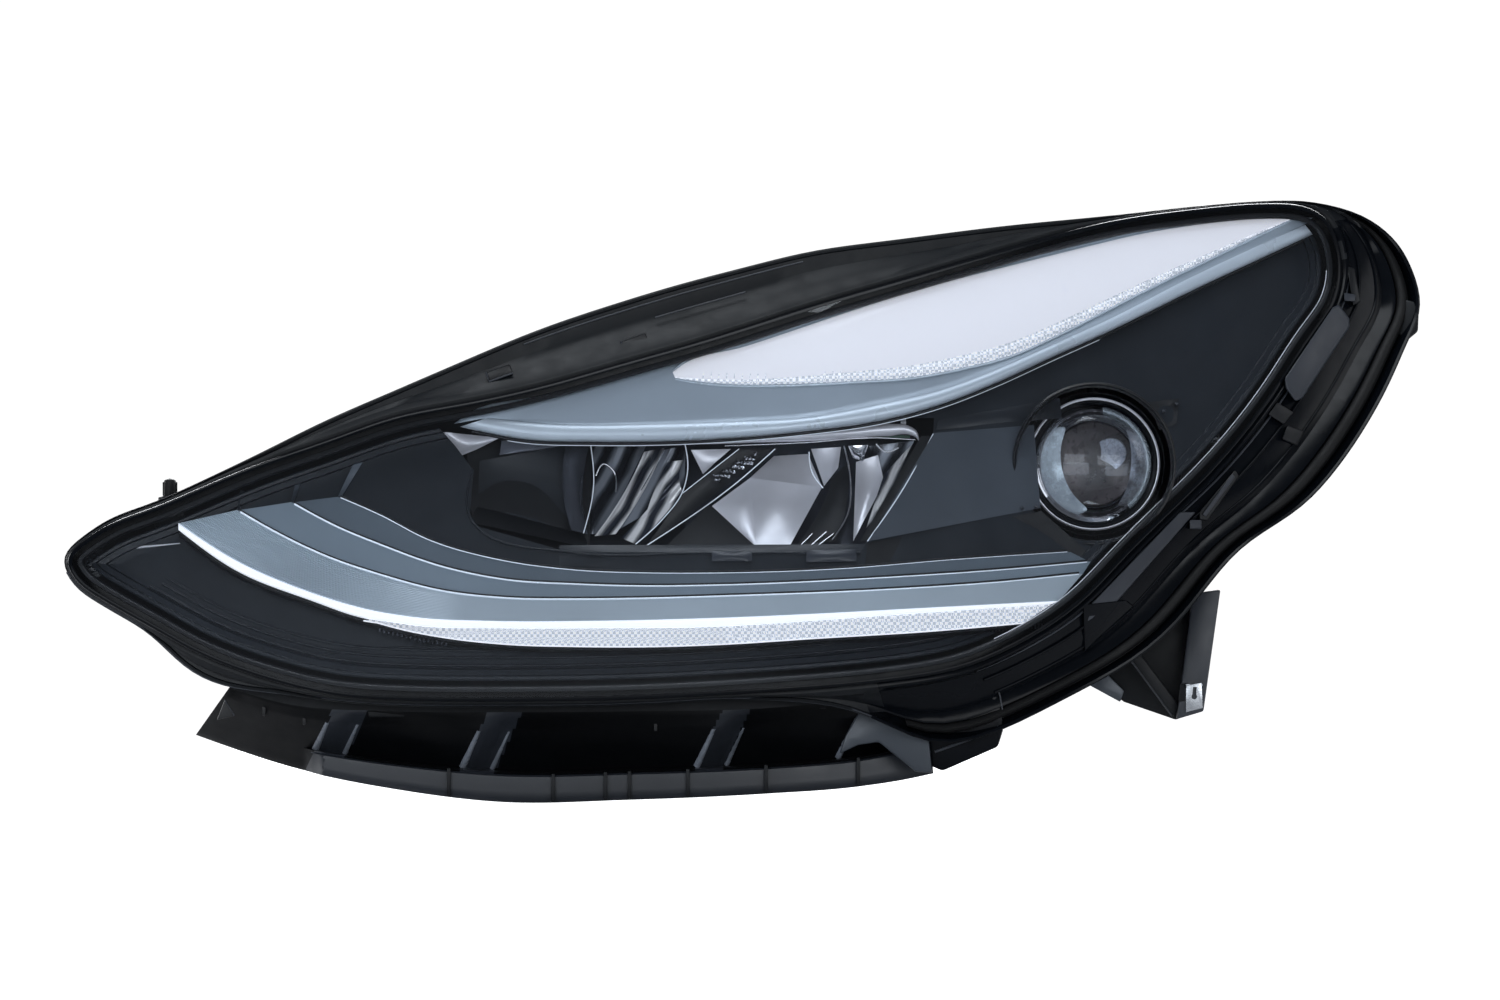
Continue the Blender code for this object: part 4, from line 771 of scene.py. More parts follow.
# ------------------------------------------------------------ what the housing carries outside
P_, Q_ = 52.0, 58.0
turned("port_neck", on(PROJ), "Y", rounded_loop([(P_, 232), (Q_, 232), (Q_, PORT_END), (P_, PORT_END)], 0.8), "shell", seg=96, closed=True)
for k in range(12):
    a = 2 * math.pi * (k + 0.5) / 12
    ca, sa = math.cos(a), math.sin(a)
    V = []
    for y in (244, 278):
        for r, w in ((57.2, -1.2), (57.2, 1.2), (59.4 if y > 250 else 64, 1.2), (59.4 if y > 250 else 64, -1.2)):
            V.append((PROJ[0] + r * ca - w * sa, y, PROJ[1] + r * sa + w * ca))
    add(f"port_rib_{k:02d}", V, [(0, 3, 2, 1), (4, 5, 6, 7), (0, 1, 5, 4), (1, 2, 6, 5), (2, 3, 7, 6), (3, 0, 4, 7)], "shell")
turned("bulb_boss", on(BULB), "Y", rounded_loop([(14, 212), (19, 212), (19, 234), (14, 234)], 0.6), "shell", seg=56, closed=True)
turned("screw_boss", on(V_SCREW), "Y", rounded_loop([(3.6, 196), (9, 196), (9, 214), (3.6, 214)], 0.5), "shell", seg=32, closed=True)
ear = block("upper_ear", (-20, 178, 58), (24, 212, 106), "shell", bevel=1.2)
ear = carve(ear, [
    turned("e1", (12, 195, 0), "Z", [(0, 90), (3.6, 90), (3.6, 112), (0, 112)], "shell", seg=32, body=None),
    block("e2", (-16, 182, 90), (3, 216, 101), "shell", bevel=0, body=None),
])
turned("ear_bush", (12, 195, 0), "Z", rounded_loop([(3.7, 99.5), (6.4, 99.5), (6.4, 106), (3.7, 106)], 0.3), "steel", seg=40, closed=True, slot="steel")
ear2 = plate("outer_ear", [(266, 56), (312, 62), (320, 72), (320, 88), (312, 96), (266, 100)], "Y", 262, 270, "shell", bevel=1.2)
carve(ear2, [turned("e3", (306, 0, 79), "Y", [(0, 256), (4.2, 256), (4.2, 276), (0, 276)], "shell", seg=32, body=None)])
turned("ear2_bush", (306, 0, 79), "Y", rounded_loop([(4.3, 261.7), (6.6, 261.7), (6.6, 270), (4.3, 270)], 0.3), "steel", seg=40, closed=True, slot="steel")
for k, z in enumerate((60, 78, 96)):
    plate(f"ear_web_{k}", [(266, 238), (274, 238), (300, 262), (266, 262)], "Z", z - 1.5, z + 1.5, "shell", bevel=0.4)
block("connector_seat", (CONNECTOR[0] - 26, 146, CONNECTOR[1] - 16), (CONNECTOR[0] + 26, 166, CONNECTOR[1] + 16), "shell", bevel=1)
block("driver_pad", (-66, 98, -88), (46, 182, -70), "shell", bevel=1)
turned("vent_boss_inner", (-20, 0, 30), "Y", rounded([(0, 182), (7, 182), (7, 196), (0, 196)], 0.5), "shell", seg=32)
turned("vent_boss_outer", (120, 0, 92), "Y", rounded([(0, 236), (7, 236), (7, 252), (0, 252)], 0.5), "shell", seg=32)
block("skirt_boss_inner", (-190, 40, -103.5), (-172, 62, -74.5), "shell", bevel=1)
block("skirt_boss_outer", (20, 42, -99.5), (38, 64, -72), "shell", bevel=1)
block("bracket_boss", (176, 150, -54), (196, 172, -30), "shell", bevel=1)
PINX = -289.5
PINY = float(lens_y(PINX, 0)) + 33
block("pin_seat", (-297, PINY - 8, -14), (-282, PINY + 8, -0.5), "shell", bevel=0.8)
# stiffening ribs over the back wall
for k, x in enumerate(range(-235, 120, 27)):
    top = float(np.interp(x, REAR[: HALF, 0], REAR[: HALF, 1])) - 4
    low = -float(np.interp(-x, -REAR[HALF:, 0], -REAR[HALF:, 1])) + 4
    if abs(x - CONNECTOR[0]) < 30:
        top, low = top, CONNECTOR[1] + 16
    if abs(x - PROJ[0]) < 62:
        continue
    y = float(back_y(x))
    block(f"back_rib_{k:02d}", (x - 1.1, y - 2, low), (x + 1.1, y + 3.2, top), "shell", bevel=0.5)

# ------------------------------------------------------------ front lens, border, seal
e0, e1, e2, e3 = inset(LENS, 2.2), inset(LENS, 1.0), inset(LENS, 0.3), LENS
so, si = inset(LENS, 1.5), inset(LENS, 4.6)


def at(ring, off):
    return ring3(ring, lens_y(ring[:, 0], ring[:, 1]) + off)


V, F = loft_data([at(e0, 0), at(e1, 0.12), at(e2, 0.7), ring3(LENS, YL + 1.6), ring3(LENS, YL + 4.0), ring3(so, YL + 4.4),
                  ring3(so, YL + 18), ring3(si, YL + 18), at(si, 3.0)],
                 cap_first=lambda x, z: lens_y(x, z), cap_last=lambda x, z: lens_y(x, z) + 3.0, m=22)
add("clear_lens", V, F, ["lens", "gloss"], index=[1 if k < 8 * N else 0 for k in range(len(F))], slot="clear_lens", replaces=("outer_lens",), sharp=50)
b0, b1, b2, b3 = inset(LENS, 4.9), inset(LENS, 7.0), inset(LENS, 7.7), inset(LENS, 4.9)
V, F = loft_data([at(b0, 3.7), at(inset(LENS, 6.6), 3.7), at(b1, 4.1), at(b2, 5.3), at(b2, 8.5), at(b3, 8.5)], loop=True)
add("lens_border_ring", V, F, "deep", slot="gloss_black", replaces=("lens_border",), sharp=45)
right = [i for i in range(N) if LENS[i, 0] > 118 and (i >= HALF * 0.985)]
bead = inset(LENS, 7.9)[right]
wire("border_highlight", ring3(bead, lens_y(bead[:, 0], bead[:, 1]) + 4.4), 0.24, "chrome_soft", slot="chrome")
V, F = loft_data([ring3(inset(LENS, 2.2), YL + 18.3), ring3(inset(LENS, 3.9), YL + 18.3), ring3(inset(LENS, 4.4), YL + 20), ring3(inset(LENS, 3.9), YL + 21.7),
                  ring3(inset(LENS, 2.2), YL + 21.7), ring3(inset(LENS, 1.7), YL + 20)], loop=True)
add("sealing_bead", V, F, "rubber", slot="rubber", replaces=("lens_seal",), sharp=60)

# ------------------------------------------------------------ wing-side seal
side = [i for i in range(N) if RIGHT[i] > 0.35 and LENS[i, 0] > 70]
side = sorted(side)
pa = toward(per(2.6) + 0.075)[side]
pb = toward(per(2.6) + 0.215)[side]
yc = (YR + 2)[side]
prof = [(0.0, 5.0), (0.02, 1.6), (0.2, -0.6), (0.5, -1.6), (0.8, -0.6), (0.98, 1.6), (1.0, 5.0)]
front = np.stack([ring3(pa * (1 - t) + pb * t, yc + 0.5 * (y_step[side] - yc) * t + d) for t, d in prof], axis=1)
back = np.stack([ring3(pa * (1 - t) + pb * t, yc + 0.5 * (y_step[side] - yc) * t + 5.6) for t, d in prof], axis=1)
slab("wing_seal", front, back, "rubber", slot="rubber", replaces=("fender_seal",), sharp=60)

# ------------------------------------------------------------ inner bezel
def bezel_line(ring, off):
    return ring3(ring, bezel_y(ring[:, 0], ring[:, 1]) + off)


bq = [inset(LENS, d) for d in (10.2, 12.2, 13.0, 15.6, 16.4, 19.5)]
V, F = loft_data([bezel_line(bq[5], 3.6), bezel_line(bq[0], 3.0), bezel_line(bq[0], -5.0), bezel_line(inset(LENS, 10.9), -5.4), bezel_line(bq[1], -5.0),
                  bezel_line(bq[2], -2.6), bezel_line(bq[3], -2.2), bezel_line(bq[4], 0.0), bezel_line(bq[5], 0.3)],
                 cap_first=lambda x, z: bezel_y(x, z) + 3.6, cap_last=lambda x, z: bezel_y(x, z) + 0.3, m=24)
bezel = add("bezel_trim", V, F, "bezel", replaces=("inner_bezel",), sharp=28)
wa, wb = path(PANEL_TOP, 24)[3:-4] - np.array([0, 3.4]), path(PANEL_LOW, 24)[3:-4] + np.array([0, 3.4])
WINDOW = [(-156, 37), (-153, 41), (92, 41), (91.5, 33), (58.5, -20.5), (55, -26), (-90, -26), (-136, -13), (-139.5, -8), (-138, 15), (-147, 27)]
carve(bezel, [
    plate("w1", WINDOW, "Y", -20, 240, "bezel", bevel=0, body=None),
    turned("w2", on(PROJ), "Y", [(0, 40), (38.6, 40), (38.6, 170), (0, 170)], "bezel", seg=72, body=None),
    plate("w3", [tuple(p) for p in wa] + [tuple(p) for p in wb[::-1]], "Y", 20, 260, "bezel", bevel=0, body=None),
], 28)


# surfaces built from four corners given as front-view points of the 1500 x 1000 sheet, half a millimetre a point, and a depth behind the bezel face
def P(px, py, d=0.0):
    x, z = (px - 750) / 2, (500 - py) / 2
    return np.array((x, float(bezel_y(x, z)) + d, z))


def patch(name, corners, mat, bulge=0.0, n=14, thick=1.2, waves=None, bow=None, **kw):
    """A smooth four-cornered sheet; bulge swells it back, waves flutes it, bow bends its two long edges sideways."""
    a, b, c, d = [np.array(q, float) for q in corners]
    s = np.linspace(0, 1, n)[:, None, None]
    t = np.linspace(0, 1, n)[None, :, None]
    G = (1 - s) * (1 - t) * a + s * (1 - t) * b + s * t * c + (1 - s) * t * d
    ss, tt = s[..., 0] + 0 * t[..., 0], t[..., 0] + 0 * s[..., 0]
    if bow is not None:
        G[..., 0] += bow[0] * 4 * tt * (1 - tt)
        G[..., 2] += bow[1] * 4 * tt * (1 - tt)
    G[..., 1] += bulge * 16 * ss * (1 - ss) * tt * (1 - tt)
    if waves:
        k, amp = waves
        G[..., 1] += amp * np.sin(2 * math.pi * k * ss + 1.3 * np.sin(3.1 * tt + 2 * ss)) * (1 - 0.3 * tt)
    B = G.copy()
    B[..., 1] += thick
    return slab(name, G, B, mat, **kw)


# edge lines default to the painted highlight lines
def edge_line(name, pts, r, mat="edge", body=BODY, n=40, **kw):
    Q = path([(p[0], p[2]) for p in pts], n) if len(pts) > 2 else np.array([(p[0], p[2]) for p in pts], float)
    D = np.interp(np.linspace(0, 1, len(Q)), np.linspace(0, 1, len(pts)), [p[1] for p in pts])
    return wire(name, np.column_stack([Q[:, 0], D, Q[:, 1]]), r, mat, body=body, slot="chrome", **kw)


def on_bezel(points, off, n=60):
    Q = path(points, n)
    return np.column_stack([Q[:, 0], bezel_y(Q[:, 0], Q[:, 1]) + off, Q[:, 1]])


# raised facet between the reflectors and the projector, the dark well under it, and the roof over them; the facet's
# lighter colour is painted light and the well's black is painted shade
patch("facet_panel", [P(934, 433, -3.4), P(1034, 425, -0.9), P(1040, 508, -0.7), P(868, 541, -3.6)], "facet", bulge=-0.7, n=24, thick=2.6)
patch("facet_well", [P(867, 543, -0.9), P(1041, 511, -0.7), P(1092, 556, -0.6), P(864, 572, -0.7)], "deep", bulge=-0.3, n=24, thick=1.6)
patch("facet_roof", [P(938, 420, -1.2), P(1060, 398, -1.0), P(1062, 418, -0.4), P(936, 430, -0.4)], "bezel", bulge=-0.6, n=14, thick=1.6)
# the dark ring round the projector opening is painted shade
turned("projector_well", on(PROJ), "Y", rounded([(38.2, 90), (39.0, 80), (40.0, 78.5), (41.0, 80), (40.0, 92), (39.6, 100), (38.8, 100), (38.2, 90)], 0.4), "deep", seg=96)
patch("pocket_corner", [P(1150, 402, -0.8), P(1180, 398, -0.8), P(1178, 424, -0.4), P(1160, 430, -0.4)], "deep", bulge=1.5, n=10, thick=1.2)
for k, (cx_, cz_) in enumerate(((1165, 411), (1178, 404), (1022, 508), (1036, 507))):
    q = P(cx_, cz_, -2.4)
    turned(f"trim_stud_{k}", tuple(q), "Y", [(0, q[1] - 0.9), (0.5, q[1] - 0.8), (0.9, q[1] - 0.2), (0.9, q[1] + 2), (0, q[1] + 2)], "pad", seg=16)

# moulded lines in the trim near the tip and under the light bar; the gate line at the tip is a painted highlight
wire("tip_gate_line", on_bezel([(-314.5, -24.4), (-300, -23.1), (-284, -21.6)], -0.2, 24), np.linspace(0.9, 0.25, 24), "chrome_soft", slot="chrome")
for k, (d_, off) in enumerate(((17.6, -0.4), (21.5, 0.1), (25.0, 0.4))):
    low = [i for i in range(N) if LENS[i, 1] < -12 and LENS[i, 0] < 120 and i > HALF]
    R_ = inset(LENS, d_)[low]
    R_ = R_[(R_[:, 0] > -300 + 4 * k) & (R_[:, 0] < 110)]
    wire(f"trim_crease_{k}", ring3(R_, bezel_y(R_[:, 0], R_[:, 1]) + off), 0.75, "bezel", seg=8)
wire("trim_crease_9", on_bezel([(-226, -79), (-192, -74.5), (-143.5, -73)], 0.3, 30), 0.55, "bezel")

# ------------------------------------------------------------ upper blade with its rolled lower lip, whose lighter colour is painted light
nb = 150
BT, BM, BL = path(BLADE_TOP, nb, 2), path(BLADE_MID, nb, 2), path(BLADE_LOW, nb, 2)
BM[:, 1] = np.maximum(BM[:, 1], BL[:, 1] + 1.6)
rows_t = [0.0, 0.02, 0.06, 0.2, 0.4, 0.6, 0.8, 0.94, 1.0]
rows_l = [0.05, 0.16, 0.35, 0.6, 0.82, 0.94, 1.0]
grid_xz = np.concatenate([between(BT, BM, rows_t), between(BM, BL, rows_l)], axis=1)
prof_y = np.array([10.2, 9.2, 8.9, 9.1, 9.5, 9.9, 10.3, 10.5, 10.2, 9.7, 9.2, 8.9, 9.2, 10.4, 11.8, 13.6])
Y = lens_y(grid_xz[..., 0], grid_xz[..., 1])
front = lift(grid_xz, Y + prof_y[None, :])
back = lift(grid_xz, Y + 14.4 + 0 * prof_y[None, :])
idx = [0] * len(rows_t) + [1] * (len(rows_l) - 1)
blade = slab("blade_trim", front, back, ["blade", "blade_lip"], index=idx, replaces=("upper_blade",), slot="satin_blade", sharp=40)
under = BL + np.array([0, -0.9])
wire("blade_shadow_line", np.column_stack([under[:, 0], lens_y(under[:, 0], under[:, 1]) + 13.2, under[:, 1]])[2:-2], 0.75, "deep")
wire("blade_under_glint", np.column_stack([under[:, 0], lens_y(under[:, 0], under[:, 1]) + 14.2, under[:, 1] - 0.9])[8:-40], 0.26, "edge", slot="chrome")

# ------------------------------------------------------------ upper light panel: crowned white diffuser with a prism hem; the diffuser's glow and the hem's light and dark checker are painted light
np_ = 190
PT, PL = path(PANEL_TOP, np_, 2)[2:-2], path(PANEL_LOW, np_, 2)[2:-2]
w_ = PL - PT
L_ = np.linalg.norm(w_, axis=1)[:, None]
PT, PL = PT + w_ * np.minimum(0.3, 0.55 / L_), PL - w_ * np.minimum(0.3, 0.55 / L_)
rows = [0.0, 0.03, 0.1, 0.25, 0.4, 0.55, 0.7, 0.8, 0.86, 0.885, 0.91, 0.955, 1.0]
G = between(PT, PL, rows)
Yp = lens_y(G[..., 0], G[..., 1])
crown = np.array([9.9, 8.5, 8.0, 7.7, 7.5, 7.4, 7.4, 7.5, 7.7, 8.1, 7.6, 8.1, 10.2])
front = lift(G, Yp + crown[None, :])
tooth = np.abs(((np.arange(len(PT)) * 0.5) % 1) - 0.5) * 2
prism_on = np.clip((PT[:, 0] - 150) / 40, 0, 1) * 0.6 + 0.4
for j in (9, 10, 11):
    front[:, j, 1] += (tooth * 1.1 * prism_on)
back = lift(G, Yp + 11.6)
slab("light_panel_diffuser", front, back, ["panel", "prism"], index=[0] * 8 + [1] * 4, replaces=("upper_light_panel",), slot="white_panel", sharp=24)
rim_pts = np.vstack([PT, PL[::-1]])
wire("panel_rim_upper", np.column_stack([PT[:, 0], lens_y(PT[:, 0], PT[:, 1]) + 8.7, PT[:, 1] + 0.7]), 0.45, "blade")
wire("panel_rim_lower", np.column_stack([PL[:, 0], lens_y(PL[:, 0], PL[:, 1]) + 9.4, PL[:, 1] - 0.75]), 0.5, "blade_lip")
for k, (a, b) in enumerate((((703, 366), (765, 382)), ((824, 370), (840, 380)), ((880, 362), (962, 377)))):
    for q in np.linspace(0, 1, 9 if k != 1 else 3):
        x0, z0 = (a[0] + (b[0] - a[0]) * q - 750) / 2, (500 - (a[1] + (b[1] - a[1]) * 0.3)) / 2
        zl = float(np.interp(x0, PL[:, 0], PL[:, 1])) + 1.4
        pts = [(x0, zl), (x0 + 0.4, zl + 4.2)]
        wire(f"panel_tick_{k}_{int(q * 100):03d}", [(p[0], float(lens_y(p[0], p[1])) + 7.5, p[1]) for p in pts], 0.30, "prism", slot="light_guide")

# ------------------------------------------------------------ stepped fin: three shelves with fine ribs near the light bar; the shelves are lit and shaded copies of one satin, lightest next to the light bar: painted light and shade
nf = 220
S3, S2, S1 = path(SEAM_3, nf, 2), path(SEAM_2, nf, 2), path(SEAM_1, nf, 2)
ST = path(STRIP_TOP, nf, 2)
MIDX = [p for p in STRIP_LOW if p[0] < -191] + [(-178, -60.8)] + [p for p in STRIP_MID if p[0] > -170]
SM, SL = path(MIDX, nf, 2), path(STRIP_LOW, nf, 2)


def shelf(name, A, B, ya, yb, mat, ribs=None, rows=9):
    ts = np.linspace(0, 1, rows)
    G = between(A, B, ts)
    Y = lens_y(G[..., 0], G[..., 1]) + (ya + (yb - ya) * ts)[None, :]
    if ribs is not None:
        Y = Y + ribs(G, ts)
    Bk = lens_y(G[..., 0], G[..., 1]) + 19.4
    return slab(name, lift(G, Y), lift(G, np.maximum(Bk, Y + 0.8)), mat, slot="satin_blade", sharp=30)


def fine_ribs(G, ts):
    width = np.linalg.norm(G[:, -1] - G[:, 0], axis=1)[:, None]
    dist = ts[None, :] * width
    fade = np.clip(1 - (G[..., 0] + 215) / 75, 0, 1)
    return 0.62 * fade * (0.5 + 0.5 * np.cos(2 * math.pi * (width - dist) / 1.45))


s3 = shelf("fin_shelf_upper", S3, S2, 15.3, 14.6, "step3")
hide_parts("stepped_fin")
shelf("fin_shelf_middle", S2 + np.array([0, 0.25]), S1, 12.3, 11.6, "step2")
shelf("fin_shelf_lower", S1 + np.array([0, 0.25]), ST, 9.2, 7.9, "step1", ribs=fine_ribs, rows=150)
for nm, C, off, r in (("upper", S3, 14.9, 0.26), ("middle", S2, 11.9, 0.46), ("lower", S1, 8.9, 0.52)):
    wire(f"fin_glint_{nm}", np.column_stack([C[:, 0], lens_y(C[:, 0], C[:, 1]) + off, C[:, 1] + 0.2])[1:-1], np.linspace(r, r * 0.55, nf - 2), "edge", slot="satin_blade")
    wire(f"fin_shadow_{nm}", np.column_stack([C[:, 0], lens_y(C[:, 0], C[:, 1]) + off + 0.7, C[:, 1] + 1.0])[1:-1], 0.5, "deep")
# the risers that climb from the heads of the three seams, in lighter colours that are painted light
for k, (lo, hi, w) in enumerate((((-255.3, -5.0), (-254.2, 4.6), 1.6), ((-228.6, -1.2), (-226.4, 9.6), 2.2), ((-205.4, 1.6), (-196.5, 20.6), 3.4))):
    lo, hi = np.array(lo), np.array(hi)
    A = lo + (hi - lo) * np.linspace(0, 1, 14)[:, None]
    Bq = A + np.column_stack([w * (0.55 + 0.75 * np.linspace(0, 1, 14)), np.zeros(14)])
    G = between(A, Bq, np.linspace(0, 1, 7))
    tt = np.linspace(0, 1, 7)[None, :]
    Y = bezel_y(G[..., 0], G[..., 1]) - (5.2 - 1.2 * k) * (1 - np.linspace(0, 1, 14)[:, None] ** 1.5) * (1 - tt) - 0.5
    slab(f"seam_riser_{k}", lift(G, Y), lift(G, bezel_y(G[..., 0], G[..., 1]) + 1.5), "riser" if k == 2 else "facet", sharp=50)

# ------------------------------------------------------------ light bar: smooth white band, prism band, dark teeth; the white band's glow and the prism band's light and dark checker are painted light
G = between(ST, SM, [0, 0.04, 0.12, 0.3, 0.5, 0.7, 0.88, 0.96, 1.0])
bar_prof = np.array([9.6, 7.9, 7.2, 6.9, 6.8, 6.9, 7.2, 7.9, 9.4])
Y = lens_y(G[..., 0], G[..., 1])
slab("light_bar", lift(G, Y + bar_prof[None, :]), lift(G, Y + 12.4), "drl", replaces=("drl_light_guide",), slot="light_guide", sharp=40)
start = int(np.argmax(SM[:, 0] > -190))
cols = 330
tq = np.linspace(0, 1, cols)
A = np.column_stack([np.interp(tq, np.linspace(0, 1, nf - start), SM[start:, k]) for k in (0, 1)]) + np.array([0, -0.1])
Bq = np.column_stack([np.interp(tq, np.linspace(0, 1, nf - start), SL[start:, k]) for k in (0, 1)])
Bq[:, 1] = np.minimum(Bq[:, 1], A[:, 1] - 0.4)
G = between(A, Bq, np.linspace(0, 1, 13))
Y = lens_y(G[..., 0], G[..., 1])
ii, jj = np.meshgrid(np.arange(cols), np.arange(13), indexing="ij")
pyr = 1.0 * ((ii % 2) * ((jj + 1) % 2)) + 1.0 * (((ii + 1) % 2) * (jj % 2))
slab("light_bar_prisms", lift(G, Y + 8.0 + pyr), lift(G, Y + 12.4), "prism", slot="light_guide", sharp=10)
wire("light_bar_hem", np.column_stack([Bq[:, 0], lens_y(Bq[:, 0], Bq[:, 1]) + 8.4, Bq[:, 1] - 0.25]), 0.34, "drl", slot="light_guide")
teeth_at = [(x, 1.0) for x in np.arange(-184, -150, 2.2)] + [(x, 0.6) for x in np.arange(-55, -40, 1.7)] + [(x, 0.6) for x in np.arange(-2, 6, 1.7)] + [(x, 0.7) for x in np.arange(120, 146, 1.7)]
tV, tF = [], []
for x, h in teeth_at:
    z = float(np.interp(x, SL[:, 0], SL[:, 1])) - 0.6
    for (dx, dz, dy) in ((-0.45, 0, 10.6), (0.45, 0, 10.6), (0.45, -3.6 * h, 12.4), (-0.45, -3.6 * h, 12.4), (-0.45, 0, 13.8), (0.45, 0, 13.8), (0.45, -3.6 * h, 13.8), (-0.45, -3.6 * h, 13.8)):
        tV.append((x + dx, float(lens_y(x, z)) + dy, z + dz))
    b = len(tV) - 8
    tF += [tuple(b + q for q in f) for f in ((0, 3, 2, 1), (4, 5, 6, 7), (0, 1, 5, 4), (1, 2, 6, 5), (2, 3, 7, 6), (3, 0, 4, 7))]
add("light_bar_teeth", tV, tF, "chrome_dark", slot="light_guide", weld=False)
hood = SL + np.array([0, -1.2])
hood_b = SL + np.array([0, -3.2])
G = between(hood, hood_b, np.linspace(0, 1, 4))
Y = lens_y(G[..., 0], G[..., 1])
slab("light_bar_sill", lift(G, Y + np.array([9.4, 9.8, 12.0, 15.0])[None, :]), lift(G, Y + 19.0), "deep", sharp=40)


# ------------------------------------------------------------ reflector cells, faceted mirrors that ride the aiming carrier; their light and dark patches are painted reflections and painted shade
C0 = 9.0


def cell(name, corners, mat, slot="chrome", rep=(), **kw):
    return patch(name, [P(q[0], q[1], C0 + q[2]) for q in corners], mat, body=AIM, slot=slot, replaces=rep, **kw)


cell("reflector_back_inner", [(466, 436, 9), (592, 430, 16), (590, 552, 14), (474, 538, 8)], "deep", rep=("reflector_inner",), bulge=1.2, thick=1.6)
cell("reflector_back_middle", [(590, 428, 26), (745, 428, 26), (740, 556, 26), (590, 556, 26)], "chrome_dark", rep=("reflector_middle",), bulge=4, thick=1.6)
cell("reflector_back_outer", [(742, 428, 26), (918, 428, 24), (880, 556, 22), (742, 556, 26)], "chrome_dark", rep=("reflector_outer",), bulge=4, thick=1.6)
cell("mirror_wedge", [(444, 432, 1), (500, 438, 4), (476, 450, 6), (456, 458, 3)], "chrome_soft", bulge=2.5)
cell("mirror_sliver", [(502, 441, 4), (590, 440, 6), (545, 449, 9), (500, 455, 8)], "chrome_dark", bulge=0.8)
cell("inner_box", [(480, 461, 9), (572, 444, 12), (584, 534, 15), (478, 506, 10)], "bezel", bulge=2.0)
cell("inner_box_floor", [(478, 506, 10), (584, 534, 14), (590, 548, 2), (470, 522, 1)], "deep", bulge=0.5)
cell("crystal_fin", [(566, 446, 8), (590, 444, 6), (588, 534, 5), (572, 530, 8)], "chrome_dark", bulge=2.5, bow=(-3.0, 0))
edge_line("mirror_edge_a", [P(591, 445, 13), P(594, 485, 14), P(584, 533, 13)], 0.26, body=AIM)
cell("arch_dark", [(594, 446, 20), (646, 446, 20), (604, 534, 16), (590, 534, 16)], "streak_dim", bulge=4, waves=(1.5, 0.8))
edge_line("mirror_edge_b", [P(596, 476, 18), P(604, 464, 18), P(613, 470, 18), P(616, 492, 18)], 0.42, body=AIM, mat="chrome")
cell("streak_a", [(644, 452, 14), (664, 448, 12), (616, 534, 8), (595, 536, 12)], "streak", bulge=1.5, waves=(2.5, 0.9), bow=(2.0, 0))
cell("streak_b", [(664, 450, 12), (686, 446, 8), (684, 492, 8), (618, 530, 10)], "streak_dim", bulge=2.0, waves=(2.0, 0.9))
cell("streak_c", [(668, 462, 7), (684, 460, 6), (683, 494, 6), (640, 543, 5)], "streak", bulge=1.2, waves=(1.6, 0.8), bow=(-2.0, 0))
cell("streak_d", [(676, 478, 6), (683, 492, 6), (636, 544, 5), (622, 538, 7)], "streak", bulge=0.8, waves=(2.2, 0.5))
edge_line("mirror_edge_c", [P(685, 444, 11), P(688, 466, 12), P(683, 491, 12), P(662, 520, 12), P(636, 544, 12)], 0.28, body=AIM)
cell("facet_light_a", [(691, 450, 12), (731, 449, 14), (716, 462, 17), (703, 474, 16)], "chrome_soft", bulge=1.0)
cell("strap_dark", [(738, 449, 10), (776, 448, 12), (646, 547, 8), (684, 493, 8)], "deep", bulge=1.0)
edge_line("mirror_edge_d", [P(739, 449, 16), P(683, 493, 15)], 0.22, body=AIM)
edge_line("mirror_edge_e", [P(775, 449, 18), P(740, 480, 17), P(646, 546, 13)], 0.28, body=AIM)
crystal = np.random.RandomState(7)
kV, kF = [], []
for q in range(24):
    u, v = (q + 0.5) / 24, (q * 0.618034) % 1
    cx_, cy_ = 713 + 43 * u, 481 - 25 * u + 10 * (v - 0.5)
    base = P(cx_, cy_, C0 + 7.6)
    r1 = 1.05
    n0 = len(kV)
    for a in range(5):
        w = 2 * math.pi * (a + crystal.rand() * 0.6) / 5
        kV.append((base[0] + r1 * math.cos(w), base[1], base[2] + r1 * math.sin(w)))
    kV += [(base[0], base[1] - 1.3, base[2]), (base[0], base[1] + 1.6, base[2])]
    for a in range(5):
        kF += [(n0 + a, n0 + (a + 1) % 5, n0 + 5), (n0 + (a + 1) % 5, n0 + a, n0 + 6)]
for q in range(7):
    u, v = crystal.rand(2)
    base = P(434 + 12 * u, 484 - 12 * u + 4 * v, -1.0)
    r1 = 0.6 + 0.5 * crystal.rand()
    n0 = len(kV)
    for a in range(5):
        w = 2 * math.pi * (a + crystal.rand() * 0.6) / 5
        kV.append((base[0] + r1 * math.cos(w), base[1] + C0, base[2] + r1 * math.sin(w)))
    kV += [(base[0], base[1] + C0 - 1.0, base[2]), (base[0], base[1] + C0 + 1.0, base[2])]
    for a in range(5):
        kF += [(n0 + a, n0 + (a + 1) % 5, n0 + 5), (n0 + (a + 1) % 5, n0 + a, n0 + 6)]
add("crystal_cluster", kV, kF, "chrome", body=AIM, slot="chrome", weld=False, sharp=5)
cell("facet_light_b", [(774, 456, 22), (808, 454, 20), (822, 487, 14), (750, 478, 16)], "chrome_soft", bulge=1.0)
cell("facet_light_c", [(750, 478, 16), (822, 487, 14), (789, 547, 6), (757, 547, 7)], "chrome_soft", bulge=2.5)
cell("facet_light_d", [(712, 506, 10), (750, 478, 16), (757, 547, 7), (752, 543, 7)], "chrome_soft", bulge=1.0)
cell("triangle_dark", [(708, 506, 9), (712, 506, 9), (757, 548, 5), (664, 548, 5)], "deep", bulge=0.5)
